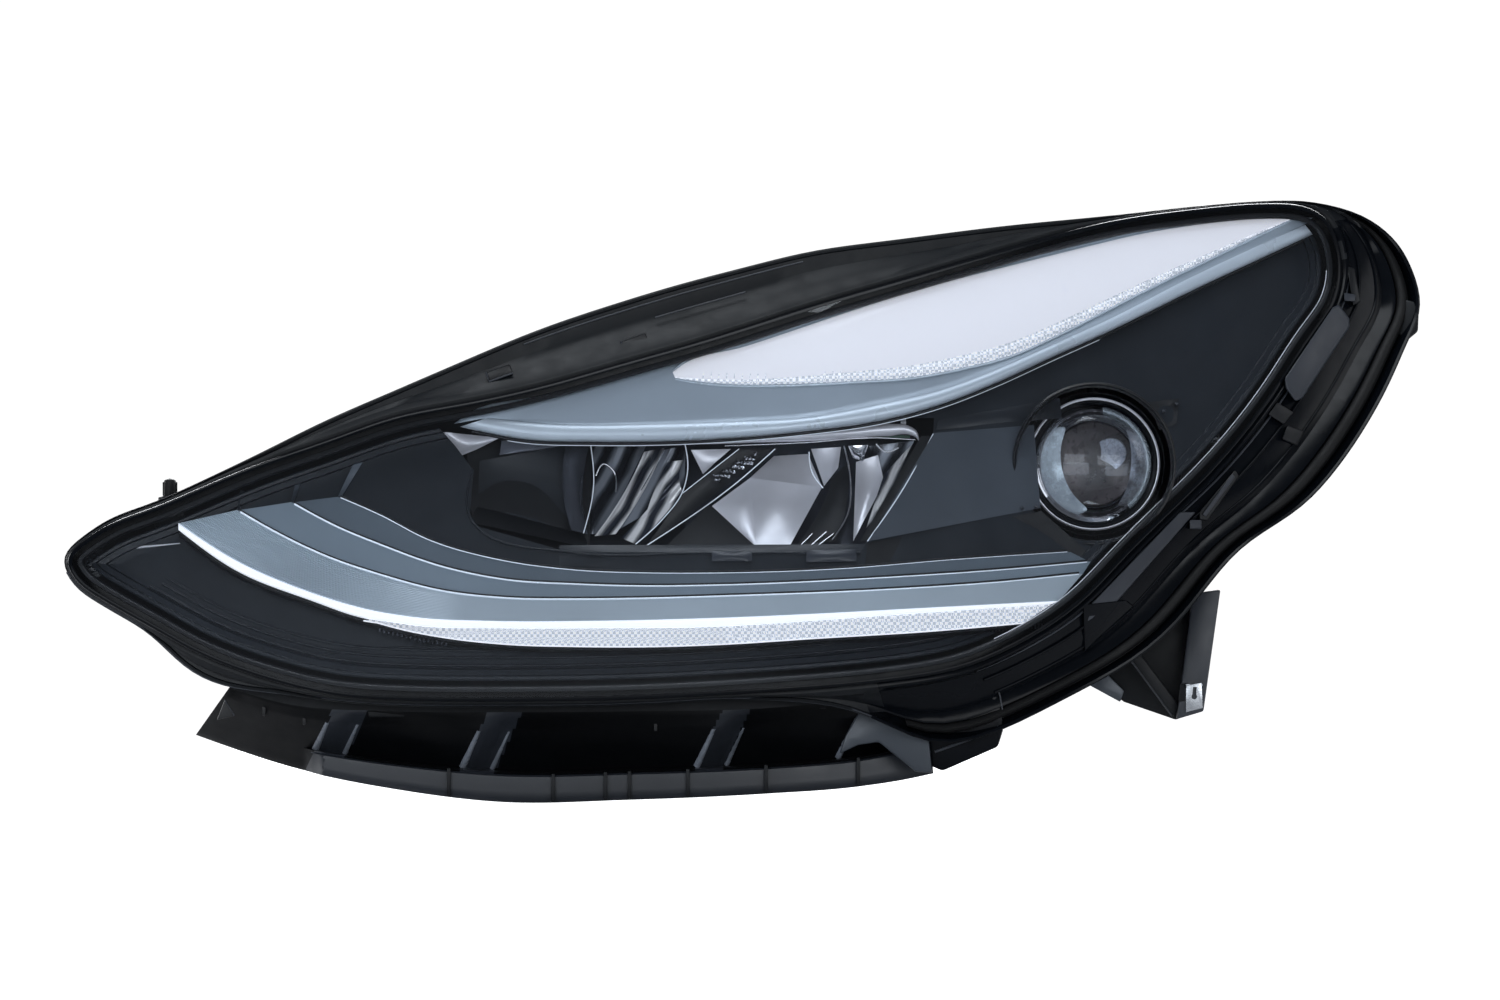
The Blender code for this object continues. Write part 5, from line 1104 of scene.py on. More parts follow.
cell("wedge_dark", [(832, 478, 8), (848, 462, 10), (836, 541, 4), (796, 546, 4)], "deep", bulge=1.0, bow=(2.4, 0))
edge_line("mirror_edge_f", [P(844, 446, 14), P(850, 478, 15), P(848, 512, 13), P(832, 540, 11)], 0.38, body=AIM, mat="chrome")
edge_line("mirror_edge_g", [P(809, 452, 14), P(812, 472, 15), P(823, 488, 15)], 0.3, body=AIM)
cell("facet_bright_e", [(811, 449, 14), (841, 447, 12), (838, 468, 11), (824, 486, 12)], "chrome_soft", bulge=1.6)
cell("tile_bright", [(848, 446, 9), (868, 445, 9), (863, 461, 9), (853, 458, 9)], "chrome", bulge=0.7)
cell("facet_right_a", [(856, 462, 11), (878, 455, 12), (884, 482, 12), (853, 541, 6)], "chrome_soft", bulge=3.0)
cell("facet_right_b", [(869, 446, 12), (914, 441, 6), (893, 482, 8), (884, 480, 12)], "streak_dim", bulge=2.0, waves=(1.5, 0.7))
cell("streak_e", [(884, 474, 9), (912, 444, 5), (884, 506, 4), (866, 528, 6)], "streak", bulge=1.0, waves=(2.4, 0.6))
edge_line("mirror_edge_h", [P(876, 444, 12), P(886, 452, 12), P(898, 448, 12)], 0.5, body=AIM, mat="chrome")
glints = [((800, 546), (812, 534)), ((809, 547), (826, 532)), ((816, 547), (833, 534)), ((798, 549), (806, 541))]
for k, (a, b) in enumerate(glints):
    edge_line(f"mirror_glint_{k}", [P(a[0], a[1], C0 + 2), P(b[0], b[1], C0 + 4)], 0.42, body=AIM, mat="chrome")
# chrome surround: top lip with its rounded end, right boundary line, bottom ledge; the boundary line and the two
# patches on the ledge are painted highlights
lip_pts = [P(690, 442, 8.2), P(725, 441, 8.0), P(760, 439, 7.8), P(800, 437, 7.6), P(850, 433, 7.4), P(890, 430, 7.2), P(908, 430, 7.2), P(917, 435, 7.6), P(919, 441, 8.4)]
Q = np.array(lip_pts)
Qx = path(Q[:, [0, 2]], 60)
Qy = np.interp(Qx[:, 0], Q[:, 0], Q[:, 1])
lip_w = np.interp(np.linspace(0, 1, 60), [0, 0.3, 0.6, 0.85, 1], [2.2, 3.6, 5.2, 6.2, 3.0])
sect = [(0.5, 3.0), (0.42, 1.0), (0.2, 0.2), (-0.05, 0.0), (-0.3, 0.5), (-0.5, 2.4)]
fr = np.stack([np.column_stack([Qx[:, 0], Qy + d, Qx[:, 1] + a * lip_w]) for a, d in sect], axis=1)
bk = np.stack([np.column_stack([Qx[:, 0], Qy + 4.2, Qx[:, 1] + a * lip_w]) for a, d in sect], axis=1)
lip_ob = slab("surround_lip", fr, bk, "chrome_soft", body=AIM, slot="chrome", replaces=("reflector_frame",), sharp=60)
edge_line("surround_lip_edge", [P(725, 446, 7.0), P(800, 443, 6.8), P(880, 438, 6.6), P(915, 440, 7.4)], 0.28, body=AIM, mat="chrome")
edge_line("surround_right_line", [P(933, 434, -2.2), P(902, 490, -2.6), P(867, 541, -3.2)], 0.28, mat="edge")
patch("surround_right_wall", [P(921, 436, 4.2), P(933, 436, 3.9), P(868, 541, 3.9), P(860, 541, 4.2)], "deep", bulge=0.4)
patch("surround_ledge", [P(560, 545, 1.5), P(868, 544, 0.5), P(868, 568, -1.0), P(560, 566, -1.0)], "bezel", bulge=-2.2, n=30, thick=2.0)
# painted highlights: two soft light patches on the bottom ledge
patch("ledge_painted_highlight_a", [P(712, 551, -1.3), P(752, 551, -1.3), P(752, 561, -2.0), P(712, 561, -2.0)], "slope", bulge=-1.2, thick=1.0)
patch("ledge_painted_highlight_b", [P(806, 550, -1.6), P(856, 549, -1.6), P(856, 561, -2.1), P(806, 562, -2.1)], "slope", bulge=-1.2, thick=1.0)
wire("window_hem", on_bezel([(-138, 15), (-139.5, -8), (-136, -13), (-90, -26), (-25, -26.4), (55, -26.2)], -0.1, 90), 0.6, "bezel")

# ------------------------------------------------------------ projector unit
def barrel(name, profile, mat, slot, rep=(), seg=112, closed=False, sharp=38, body=PROJECTOR):
    return turned(name, on(PROJ), "Y", profile, mat, seg=seg, closed=closed, body=body, slot=slot, replaces=rep, sharp=sharp)


dome = [(0, 92.0)] + [(29 * math.sin(a), 92 + 32.4 * (1 - math.sqrt(1 - (29 * math.sin(a) / 32.4) ** 2))) for a in np.radians(np.linspace(4, 90, 22))]
barrel("projector_dome", dome + [(29, 112.4), (28.4, 113), (0, 113)], "glass", "glass", ("projector_lens",), sharp=50)


def arc_band(name, a0, a1, r0, r1, y, mat, n=36, taper=0.5, dx=0.0, dz=0.0):
    """Painted highlight seen through the lens: a crescent from a0 to a1 degrees whose width swells in the middle."""
    a = np.radians(np.linspace(a0, a1, n))
    swell = np.sin(np.linspace(0, math.pi, n)) ** taper
    rm, w = (r0 + r1) / 2, (r1 - r0) / 2 * swell + 0.15
    rr = [rm - w, rm - w * 0.5, rm, rm + w * 0.5, rm + w]
    G = np.stack([np.column_stack([PROJ[0] + dx + r * np.cos(a), np.full(n, y) + 0.6 * ((r - rm) / (r1 - r0)) ** 2, PROJ[1] + dz + r * np.sin(a)]) for r in rr], axis=1)
    Bk = G.copy()
    Bk[..., 1] += 0.8
    return slab(name, G, Bk, mat, body=PROJECTOR, slot="chrome", sharp=60)


arc_band("projector_crescent", 128, 262, 12.5, 24.5, 114.0, "halo", taper=0.7)
arc_band("projector_crescent_right", -58, 46, 15.0, 24.0, 114.0, "halo_dim", taper=0.8)
arc_band("projector_patch", -12, 74, 3.5, 13.5, 114.6, "halo_dim", taper=1.0, n=24)
barrel("projector_core", [(0, 115.6), (11, 115.8), (15, 116.6), (15, 117.6), (0, 117.6)], "amber", "chrome", seg=56)
barrel("projector_bezel_ring", rounded_loop([(29.5, 105.5), (31.4, 104.6), (33.2, 106), (34.4, 112), (34.5, 118), (26, 118), (26, 113.5), (29.5, 113.5)], 0.5), "gloss", "chrome", ("projector_lens_ring",), closed=True)
barrel("projector_ring_glint", rounded_loop([(31.9, 105.2), (32.7, 105.0), (33.4, 106.6), (32.6, 106.4)], 0.15), "chrome_soft", "chrome", closed=True)
barrel("projector_tube", rounded_loop([(31, 118.4), (36, 118.4), (36, 150), (41, 166), (41, 170), (35.5, 170), (31, 152)], 0.6), "deep", "black_plastic", closed=True)
inner = []
for k in range(9):
    y = 119 + k * 3.4
    inner += [(30.9, y), (30.2, y + 0.8), (30.9, y + 1.7)]
barrel("projector_baffle", inner + [(30.9, 151), (30.96, 151), (30.96, 119)], "chrome_soft", "black_plastic", closed=True)
barrel("projector_mirror", rounded_loop([(35.5, 170.4), (40, 170.4), (40, 173), (38, 181), (30, 194), (18, 203), (9, 205.6), (7, 203.6), (16.8, 200.8), (28, 192), (35, 180)], 0.8), "chrome", "chrome", ("projector_reflector",), closed=True)

# ------------------------------------------------------------ lower skirt, pleated, with a ledge and its ribs
SK_TOP = [(-259, -93), (-230, -101), (-180, -104.5), (-125, -105), (-58.5, -104.5), (7.5, -103), (50, -99), (82, -94), (88, -96)]
SK_LOW = [(-277, -117.5), (-227, -134), (-175, -144.5), (-125, -150.5), (-60, -149.5), (7.5, -146.5), (54, -143), (80, -139), (91.5, -136.5)]
ns = 260
KT, KL = path(SK_TOP, ns, 2), path(SK_LOW, ns, 2) + np.array([0, 0.12])
rows = np.concatenate([[0, 0.012], np.linspace(0.05, 0.66, 26), [0.675, 0.70, 0.72, 0.76, 0.82, 0.88, 0.94, 0.985, 1.0]])
G = between(KT, KL, rows)
X_, Z_ = G[..., 0], G[..., 1]
x_line = X_ - 0.46 * (Z_ + 106)
pleat = np.interp(x_line, [-290, -212, -208.5, -205, -196, -192, -134, -131, -127, -119, -115, -17.5, -14.5, -11, -2.5, 1, 51, 54, 58, 100],
                  [1.5, -4.2, -5.0, -3.0, 4.2, 5.0, -4.2, -5.0, -3.0, 4.2, 5.0, -4.2, -5.0, -3.0, 4.2, 5.0, -4.2, -5.0, -3.0, 0.5])
t_ = rows[None, :] + 0 * X_
stepped = np.clip((X_ + 222) / 9, 0, 1)
fade = np.clip(t_ / 0.2, 0, 1) * (stepped * np.clip((0.675 - t_) / 0.012, 0, 1) + 1 - stepped)
face = np.where(t_ < 0.67, 30 * np.minimum(t_, 0.66) / 0.66, 30 - 16.0 * stepped + (1 - stepped) * 30 * (t_ - 0.66) / 0.66)
edge_soft = 1.6 * stepped * np.exp(-((t_ - 0.70) / 0.012) ** 2) + 1.2 * np.exp(-((1 - t_) / 0.02) ** 2) + 1.0 * np.exp(-(t_ / 0.02) ** 2)
Yk = lens_y(X_, -96) + 34 + face + pleat * fade + edge_soft
front = lift(G, Yk)
back = lift(G, Yk + 2.7)
# the slope and ledge cells take the lighter copies of the skirt black: painted light
slope_cell = (np.abs(((x_line[:-1, :-1] + 200.5)) ) < 8.5) | (np.abs(x_line[:-1, :-1] + 123) < 8.5) | (np.abs(x_line[:-1, :-1] + 8.5) < 7)
ledge_cell = (t_[:-1, :-1] > 0.675) & (X_[:-1, :-1] > -219)
cell_mat = np.where(ledge_cell, 2, np.where(slope_cell, 1, 0))
skirt = slab("skirt_panel", front, back, ["skirt", "slope", "ledge"], index=cell_mat, replaces=("lower_skirt",), sharp=34)
# painted highlights: light wires laid along the pleat folds
for k, (xl, mat_, r) in enumerate(((-208.5, "fold", 1.9), (-193.0, "fold", 1.5), (-131, "fold", 1.9), (-116.0, "fold", 1.5), (-14.5, "fold", 1.9), (0.0, "fold", 1.5), (54, "fold", 1.8))):
    pts = []
    for j, t in enumerate(rows):
        if 0.2 < t < 0.655:
            i = int(np.argmin(np.abs(x_line[:, j] - xl)))
            pts.append((X_[i, j] + (xl - x_line[i, j]), Yk[i, j] + 0.8, Z_[i, j]))
    wire(f"skirt_fold_painted_highlight_{k}", pts, np.linspace(r * 0.55, r, len(pts)), mat_)
for k, x in enumerate((-150, -98, -98 + 26, -60, -31, 8, 54)):
    i = int(np.argmin(abs(KL[:, 0] - x)))
    zl = float(KL[i, 1])
    y0 = float(lens_y(x, -96)) + 48
    block(f"skirt_rib_{k}", (x - 0.9, y0 - 2.4, zl + 0.4), (x + 0.9, y0 + 12, zl + 14.5), "shell", bevel=0.4)
for k, (x, z) in enumerate(((-242, -101.5), (-222, -106), (-47, -109), (-36, -106))):
    y0 = float(lens_y(x, -96)) + 34 + 30 * 0.25
    block(f"skirt_slot_{k}", (x - 0.8, y0 - 1.6, z - 6), (x + 0.8, y0 + 3, z + 2), "deep", bevel=0.3)
KU = KT + np.column_stack([np.zeros(ns), np.full(ns, 8.0)])
G = between(KU, KT + np.array([0, -0.6]), np.linspace(0, 1, 6))
Yu = lens_y(G[..., 0], -96) + 34
slab("skirt_upstand", lift(G, Yu - 0.2), lift(G, Yu + 2.6), "shell", sharp=40)
lobe = [(82, -92), (118, -84), (126, -106), (126, -115), (123.5, -123), (96, -135), (84, -130)]
lo_y = float(lens_y(105, -96)) + 30
plate("housing_lobe", lobe, "Y", lo_y, lo_y + 26, "gloss", bevel=1.6)
wire("housing_lobe_seam", [(120.6, lo_y - 0.3, -84), (124.6, lo_y - 0.3, -98), (126.0, lo_y - 0.3, -106)], 0.4, "pad")
wire("housing_lobe_bead", [(92, lo_y - 0.4, -125.5), (110, lo_y - 0.4, -119), (124, lo_y - 0.4, -113)], 0.7, "pad")
block("skirt_tab_inner", (-190, 34, -108), (-172, 62, -103.9), "shell", bevel=0.7)
block("skirt_tab_outer", (20, 37, -104), (38, 64, -99.9), "shell", bevel=0.7)
# end cheek at the wing side of the skirt, with its arched foot; its lighter face is painted light
cheek = [(72.5, -94.5), (81, -93), (85.5, -95.5), (88, -107.5), (90.8, -136), (82.5, -135.5), (64, -120.5), (54, -122), (44.5, -126.5), (47.5, -117.5), (55, -104), (66, -98)]
y0 = float(lens_y(75, -96)) + 34
ch = plate("skirt_cheek", cheek, "Y", y0 - 1.0, y0 + 5, "facet", bevel=1.2)
for k, (x, z) in enumerate(((-262, -104),)):
    y1 = float(lens_y(x, -96)) + 34 + 6
    plate(f"skirt_notch_{k}", [(x - 3.6, z - 5.6), (x + 5.2, z - 3.4), (x + 0.4, z + 4.6)], "Y", y1 - 1.5, y1 + 3, "deep", bevel=0.5)
    wire(f"skirt_notch_edge_{k}", [(x + 5.2, y1 - 1.8, z - 3.4), (x + 0.4, y1 - 1.8, z + 4.6)], 0.35, "pad")
# lip of the housing that shows between lens and skirt
low = [i for i in range(N) if i > HALF and LENS[i, 0] < 60 and LENS[i, 1] < -35]
lw = RIM[low]
wire("rim_under_bead", ring3(lw + np.array([0, 0.8]), YR[low] + 1.0), 0.8, "pad")

# ------------------------------------------------------------ side bracket, clip nut, rubber stop, locating pin
br = plate("bracket_plate", [(176, -55), (200, -55), (236, -47), (230.5, -83), (227.5, -105), (214, -110.5), (188, -101.5), (172, -90)], "Y", 150, 154, "shell", bevel=0.8, replaces=("side_bracket",))
# the bracket facet's lighter colour is painted light
plate("bracket_facet", [(168.5, -92), (186, -101.5), (188, -96), (176, -84)], "Y", 147.5, 150.2, "facet", bevel=0.5)
block("bracket_foot", (174, 151, -58), (196, 178, -54.4), "shell", bevel=0.6)
wall = plate("bracket_wall", [(222, -47), (236, -45), (227.5, -106), (214, -110)], "Y", 128, 156, "pad", bevel=0.9)
carve(wall, [block("q1", (213, 120, -101), (219.5, 146, -92), "shell", bevel=0, body=None),
             turned("q2", (0, 139, -87.5), "X", [(0, 212), (6, 212), (6, 236), (0, 236)], "shell", seg=32, body=None)])
plate("bracket_rib", [(174, -58), (180, -56), (216, -104), (212, -109)], "Y", 136, 152, "shell", bevel=0.7)
wire("bracket_rib_edge", [(174.5, 135.8, -59), (193, 135.8, -83), (211.6, 135.8, -108)], 0.5, "pad")
clip = plate("clip_plate", [(218.6, -106.5), (227.0, -104.3), (226.6, -91.5), (218.6, -93)], "Y", 126.2, 127.6, "steel", bevel=0.25, slot="steel", replaces=("clip_nut",))
carve(clip, [turned("q3", (222.8, 0, -98.6), "Y", [(0, 120), (1.4, 120), (1.4, 132), (0, 132)], "steel", seg=24, body=None),
             plate("q4", [(221.8, -98), (223.8, -98), (224, -93.8), (222.2, -93.8)], "Y", 120, 132, "steel", bevel=0, body=None)])
block("clip_fold", (218.6, 127.6, -93.4), (227.0, 131.5, -92.2), "steel", bevel=0.3, slot="steel")
turned("stop_bung", (0, 139, -87.5), "X", rounded([(0, 217.2), (4, 217.2), (5.2, 219), (5.2, 221), (4.2, 222), (5.2, 223), (5.2, 227), (4, 229), (0, 229)], 0.5), "rubber", seg=48, slot="rubber", replaces=("bumper_stop",))
for k in range(8):
    a = 2 * math.pi * k / 8
    c, s = math.cos(a), math.sin(a)
    block(f"pin_rib_{k}", (PINX + 3.2 * c - 0.5, PINY + 3.2 * s - 0.5, 2.2), (PINX + 3.2 * c + 0.5, PINY + 3.2 * s + 0.5, 9.0), "rubber", bevel=0.25, slot="rubber")
turned("pin_body", (PINX, PINY, 0), "Z", rounded([(0, -0.1), (5.9, -0.1), (5.9, 1.3), (3.4, 2), (3.2, 3), (3.2, 8), (2.8, 10), (0, 10.8)], 0.6), "rubber", seg=48, slot="rubber", replaces=("locating_pin",))

# ------------------------------------------------------------ rear: port cover, gaskets, lamp socket, vents, electrics, screws
turned("port_gasket_ring", on(PROJ), "Y", rounded_loop([(51, PORT_END + 0.35), (54.2, PORT_END + 0.35), (54.2, PORT_END + 0.9), (57.5, PORT_END + 0.35), (57.5, PORT_END + 2.4), (51, PORT_END + 2.4)], 0.3), "rubber",
       seg=112, closed=True, body="port_gasket", slot="rubber", replaces=("service_cap_gasket",))
cap_profile = [(0, 287), (46, 287), (46, 272), (50, 272), (50, 286.75), (60, 286.75), (60, 290), (57, 293), (52, 293), (51, 291.6), (45, 291.6), (44, 293), (34, 293), (31, 296), (0, 296)]
turned("cover_disc", on(PROJ), "Y", rounded(cap_profile, 0.8), "shell", seg=128, body="port_cover", replaces=("service_cap",), sharp=30)
block("cover_grip_long", (PROJ[0] - 40, 292.5, PROJ[1] - 3.6), (PROJ[0] + 40, 304, PROJ[1] + 3.6), "shell", bevel=1.6, body="port_cover")
block("cover_grip_short", (PROJ[0] - 3.6, 292.5, PROJ[1] - 26), (PROJ[0] + 3.6, 300, PROJ[1] + 26), "shell", bevel=1.4, body="port_cover")
for k in range(36):
    a = 2 * math.pi * k / 36
    c, s = math.cos(a), math.sin(a)
    V = []
    for y in (287.4, 290.4):
        for r, w in ((58.9, -1.3), (58.9, 1.3), (60.0, 0.8), (60.0, -0.8)):
            V.append((PROJ[0] + r * c - w * s, y, PROJ[1] + r * s + w * c))
    add(f"cover_knurl_{k:02d}", V, [(0, 3, 2, 1), (4, 5, 6, 7), (0, 1, 5, 4), (1, 2, 6, 5), (2, 3, 7, 6), (3, 0, 4, 7)], "shell", body="port_cover")
turned("socket_seal_ring", on(BULB), "Y", rounded_loop([(14.6, 234.35), (18.4, 234.35), (18.4, 236.2), (14.6, 236.2)], 0.5), "rubber", seg=72, closed=True, body="socket_seal", slot="rubber", replaces=("bulb_socket_seal",))
sock = turned("socket_body", on(BULB), "Y", rounded([(0, 214), (9, 214), (9, 216), (13.4, 216), (13.4, 236.5), (20, 236.5), (20, 240), (14, 240), (14, 252), (0, 252)], 0.7), "pad", seg=80, body="turn_lamp", replaces=("bulb_socket",))
carve(sock, [block("q5", (BULB[0] - 8, 246, BULB[1] - 5), (BULB[0] + 8, 256, BULB[1] + 5), "pad", bevel=0, body=None)])
for s_ in (-1, 1):
    block(f"socket_wing_{'a' if s_ < 0 else 'b'}", (BULB[0] + s_ * 18 - 4, 239.6, BULB[1] - 2.6), (BULB[0] + s_ * 18 + 4, 250, BULB[1] + 2.6), "pad", bevel=0.9, body="turn_lamp")
    block(f"socket_pin_{'a' if s_ < 0 else 'b'}", (BULB[0] + s_ * 3 - 0.4, 244, BULB[1] - 1.4), (BULB[0] + s_ * 3 + 0.4, 251, BULB[1] + 1.4), "steel", bevel=0.15, body="turn_lamp", slot="steel")
for nm, c, y in (("inner", (-20, 0, 30), 196.4), ("outer", (120, 0, 92), 252.4)):
    turned(f"vent_hood_{nm}", c, "Y", rounded([(0, y), (7.5, y), (9.5, y + 1.6), (9.5, y + 9.6), (7, y + 11.6), (2, y + 11.6), (1.4, y + 10.8), (0, y + 10.8)], 0.6), "rubber", seg=56, slot="rubber", replaces=(f"vent_cap_{nm}",))
    for k in range(6):
        a = 2 * math.pi * k / 6
        x, z = c[0] + 9.2 * math.cos(a), c[2] + 9.2 * math.sin(a)
        turned(f"vent_rib_{nm}_{k}", (x, 0, z), "Y", [(0, y + 2), (0.9, y + 2.4), (0.9, y + 8.6), (0, y + 9)], "rubber", seg=12, slot="rubber")
block("driver_gasket_pad", (-61.8, 102.2, -89.8), (41.8, 177.8, -88.4), "rubber", bevel=0.4, slot="rubber", replaces=("control_unit_gasket",))
cu = block("driver_case", (-62, 102, -112), (42, 178, -90.1), "aluminium", bevel=1.6, slot="aluminium", replaces=("control_unit",))
for k in range(8):
    block(f"driver_fin_{k}", (-56 + 12 * k, 108, -116), (-53 + 12 * k, 172, -111), "aluminium", bevel=0.8, slot="aluminium")
plug = block("driver_socket_shell", (-40, 176, -110), (8, 196, -93), "shell", bevel=0.8, slot="aluminium")
carve(plug, [block("q6", (-37, 182, -107), (5, 200, -96), "shell", bevel=0, body=None)])
for k in range(8):
    block(f"driver_pin_{k}", (-33.4 + 4.8 * k, 180, -102), (-32.6 + 4.8 * k, 192, -101.2), "steel", bevel=0.15, slot="steel")
for k, (x, z) in enumerate(((-57, -106), (37, -106))):
    turned(f"driver_screw_{k}", (x, 0, z + 8), "Y", rounded([(0, 176), (3.2, 176), (3.2, 178.9), (2.2, 179.6), (0, 179.6)], 0.3), "steel", seg=32, slot="steel")
cx_, cz_ = CONNECTOR
block("connector_flange", (cx_ - 24, 166.4, cz_ - 14), (cx_ + 24, 170, cz_ + 14), "pad", bevel=1.0, replaces=("main_connector",))
body_ = block("connector_shell", (cx_ - 20, 169.5, cz_ - 10), (cx_ + 20, 192, cz_ + 10), "pad", bevel=1.0)
carve(body_, [block("q7", (cx_ - 17.5, 172, cz_ - 7.5), (cx_ + 17.5, 196, cz_ + 7.5), "pad", bevel=0, body=None)])
block("connector_key", (cx_ - 5, 172, cz_ + 9), (cx_ + 5, 188, cz_ + 12.5), "pad", bevel=0.8)
for row in (-3, 3):
    for k in range(6):
        block(f"connector_pin_{'a' if row < 0 else 'b'}{k}", (cx_ - 14.4 + 5.6 * k, 170, cz_ + row - 0.4), (cx_ - 13.4 + 5.6 * k, 182, cz_ + row + 0.4), "steel", bevel=0.15, slot="steel")


def screw_z(name, node, x, y, z, flip=1):
    ob = turned(name, (x, y, 0), "Z", rounded([(0, z), (3.6, z), (5, z - 0.8), (5, z - 2.4), (4.6, z - 3), (2.5, z - 3.4), (2.5, z - 4), (0, z - 4)], 0.3), "steel", seg=48, slot="steel", replaces=(node,))
    return carve(ob, [plate("q8", [(x + 1.7 * math.cos(a), y + 1.7 * math.sin(a)) for a in np.linspace(0, 2 * math.pi, 7)[:-1]], "Z", z - 5, z - 2.6, "steel", bevel=0, body=None)])


screw_z("skirt_fixing_inner", "skirt_screw_inner", -181, 55, -108.35)
screw_z("skirt_fixing_outer", "skirt_screw_outer", 29, 57, -104.35)
screw_z("bracket_fixing", "bracket_screw", 185, 160, -58.3)

# ------------------------------------------------------------ wing-side flange furniture
def gap_point(u, t, off=0.0):
    """A point on the wing-side flange: u along the outline index, t from rim (0) to lens edge (1)."""
    i = int(u) % N
    p = RIM[i] * (1 - t) + LENS[i] * t
    y = np.interp(t, [0, 0.25, 0.33, 0.45, 0.62, 0.93], [YR[i], y_step[i] + 3, y_step[i], mix(y_trough[i], y_step[i], 0.25) + 2.5, mix(YL[i] + 6.4, y_trough[i], 0.55) + 3.0, YL[i] + 9])
    return np.array((p[0], y + off, p[1]))


def nearest(x, z, ring=None):
    R_ = (RIM + LENS) / 2 if ring is None else ring
    return int(np.argmin(((R_ - np.array((x, z))) ** 2).sum(1)))


def flange_block(name, corners, off0, off1, mat, bevel=0.8, up=2.0):
    """A raised block whose outline is given on the sheet; it stands from off0 in front of the flange to off1 behind it."""
    V = []
    base = []
    for px, py in corners:
        x, z = (px - 750) / 2, (500 - py) / 2
        i = nearest(x, z)
        L, R_ = LENS[i], RIM[i]
        t = float(np.clip(np.dot(np.array((x, z)) - R_, L - R_) / np.dot(L - R_, L - R_), 0, 1))
        y = gap_point(i, t)[1]
        base.append((x, y, z))
    for off in (off0, off1):
        V += [(x, y + off, z) for x, y, z in base]
    n = len(corners)
    F = [tuple(range(n)), tuple(range(2 * n - 1, n - 1, -1))] + [(i, (i + 1) % n, n + (i + 1) % n, n + i) for i in range(n)]
    ob = add(name, V, F, mat)
    return bevelled(ob, bevel, 3)


flange_block("flange_pad", [(1337, 306), (1343, 303), (1354, 317), (1354, 326), (1305, 398), (1298, 401), (1288, 388), (1287, 378)], -4.2, 4, "pad", bevel=1.1)
flange_block("flange_slot_long", [(1236, 470), (1240, 476), (1208, 521), (1200, 520), (1200, 512)], -2.0, 4, "deep", bevel=0.8)
flange_block("flange_slot_rim", [(1233, 474), (1236, 477), (1206, 517), (1203, 514)], -2.8, 4, "pad", bevel=0.4)
flange_block("flange_notch", [(1290, 425), (1307, 431), (1300, 446), (1284, 439)], -2.2, 4, "deep", bevel=0.8)
flange_block("flange_lug_a", [(1190, 520), (1202, 520), (1202, 529), (1190, 529)], -3.4, 4, "pad", bevel=0.5)
flange_block("flange_hook", [(1352, 264), (1360, 266), (1366, 300), (1358, 304)], -2.6, 4, "deep", bevel=0.8)
flange_block("flange_hook_tab", [(1349, 291), (1361, 293), (1360, 300), (1349, 299)], -4.0, 4, "pad", bevel=0.5)
flange_block("flange_facet", [(1180, 512), (1196, 512), (1112, 606), (1086, 622), (1090, 604)], -1.6, 4, "pad", bevel=0.8)
flange_block("flange_fin_a", [(1082, 604), (1126, 600), (1134, 606), (1096, 640), (1084, 652)], -2.6, 3, "gloss", bevel=0.9)
flange_block("flange_lug_b", [(1407, 296), (1421, 300), (1425, 312), (1424, 330), (1412, 340), (1404, 332)], -1.6, 6, "shell", bevel=1.0)
flange_block("flange_dark_a", [(1280, 402), (1296, 412), (1286, 424), (1270, 414)], -0.8, 3, "deep", bevel=0.6)
# raised ribs that run along the trough
for k, (t, r, mat_, lo_u, hi_u) in enumerate(((0.52, 0.8, "gloss", 0, N), (0.74, 0.7, "gloss", 0, N), (0.90, 0.5, "pad", 0, N))):
    ids = [i for i in range(N) if RIGHT[i] > 0.6 and LENS[i, 0] > 110]
    pts = np.array([gap_point(i, t, -0.3) for i in ids])
    wire(f"flange_bead_{k}", pts, r, mat_)
# pockets, seam and groove of the top flange
for k, (x, z, w, h, rot) in enumerate(((-125, 63.5, 12.5, 5.0, 20), (-57.5, 79, 13.0, 5.0, 20))):
    c, s = math.cos(math.radians(rot)), math.sin(math.radians(rot))
    y = float(lens_y(x, z)) + 14
    i = nearest(x, z)
    yb = YL[i] + 6.4 + 0.5 * (y_trough[i] - YL[i] - 6.4)
    poly = [(x + c * a - s * b, z + s * a + c * b) for a, b in ((-w / 2, -h / 2), (w / 2, -h / 2), (w / 2, h / 2), (-w / 2, h / 2))]
    plate(f"flange_pocket_{k}", poly, "Y", yb - 1.2, yb + 5, "deep", bevel=0.8)
    wire(f"flange_pocket_rim_{k}", [(p[0], yb - 1.4, p[1]) for p in (poly[3], poly[0], poly[1])], 0.55, "pad")
tops = [i for i in range(N) if 0 < i < HALF and -110 < LENS[i, 0] < 40]
for k, (t, a, b) in enumerate(((0.42, -45, 3), (0.16, -110, 30))):
    ids = [i for i in tops if a < LENS[i, 0] < b]
    wire(f"flange_top_line_{k}", np.array([ring3(toward(t), mix(YR + 2, YL + 6.4, t) - 0.2)[i] for i in ids]), 0.45, "pad")

# ------------------------------------------------------------ finishes of the remaining CAD parts
SLOT_MAT = {"black_plastic": "shell", "gloss_black": "gloss", "satin_blade": "blade", "clear_lens": "lens", "white_panel": "panel", "light_guide": "drl", "chrome": "chrome",
            "glass": "bulb", "aluminium": "aluminium", "steel": "steel", "rubber": "rubber", "white_nylon": "nylon", "board": "board"}
for sub in frame["record"]["subparts"]:
    ob = frame["nodes"].get(sub["node"])
    if ob is None:
        continue
    if not ob.data.materials:
        ob.data.materials.append(M[SLOT_MAT[sub["material_slot"]]])
    for sl in ob.material_slots:
        sl.material = M[SLOT_MAT[sub["material_slot"]]]

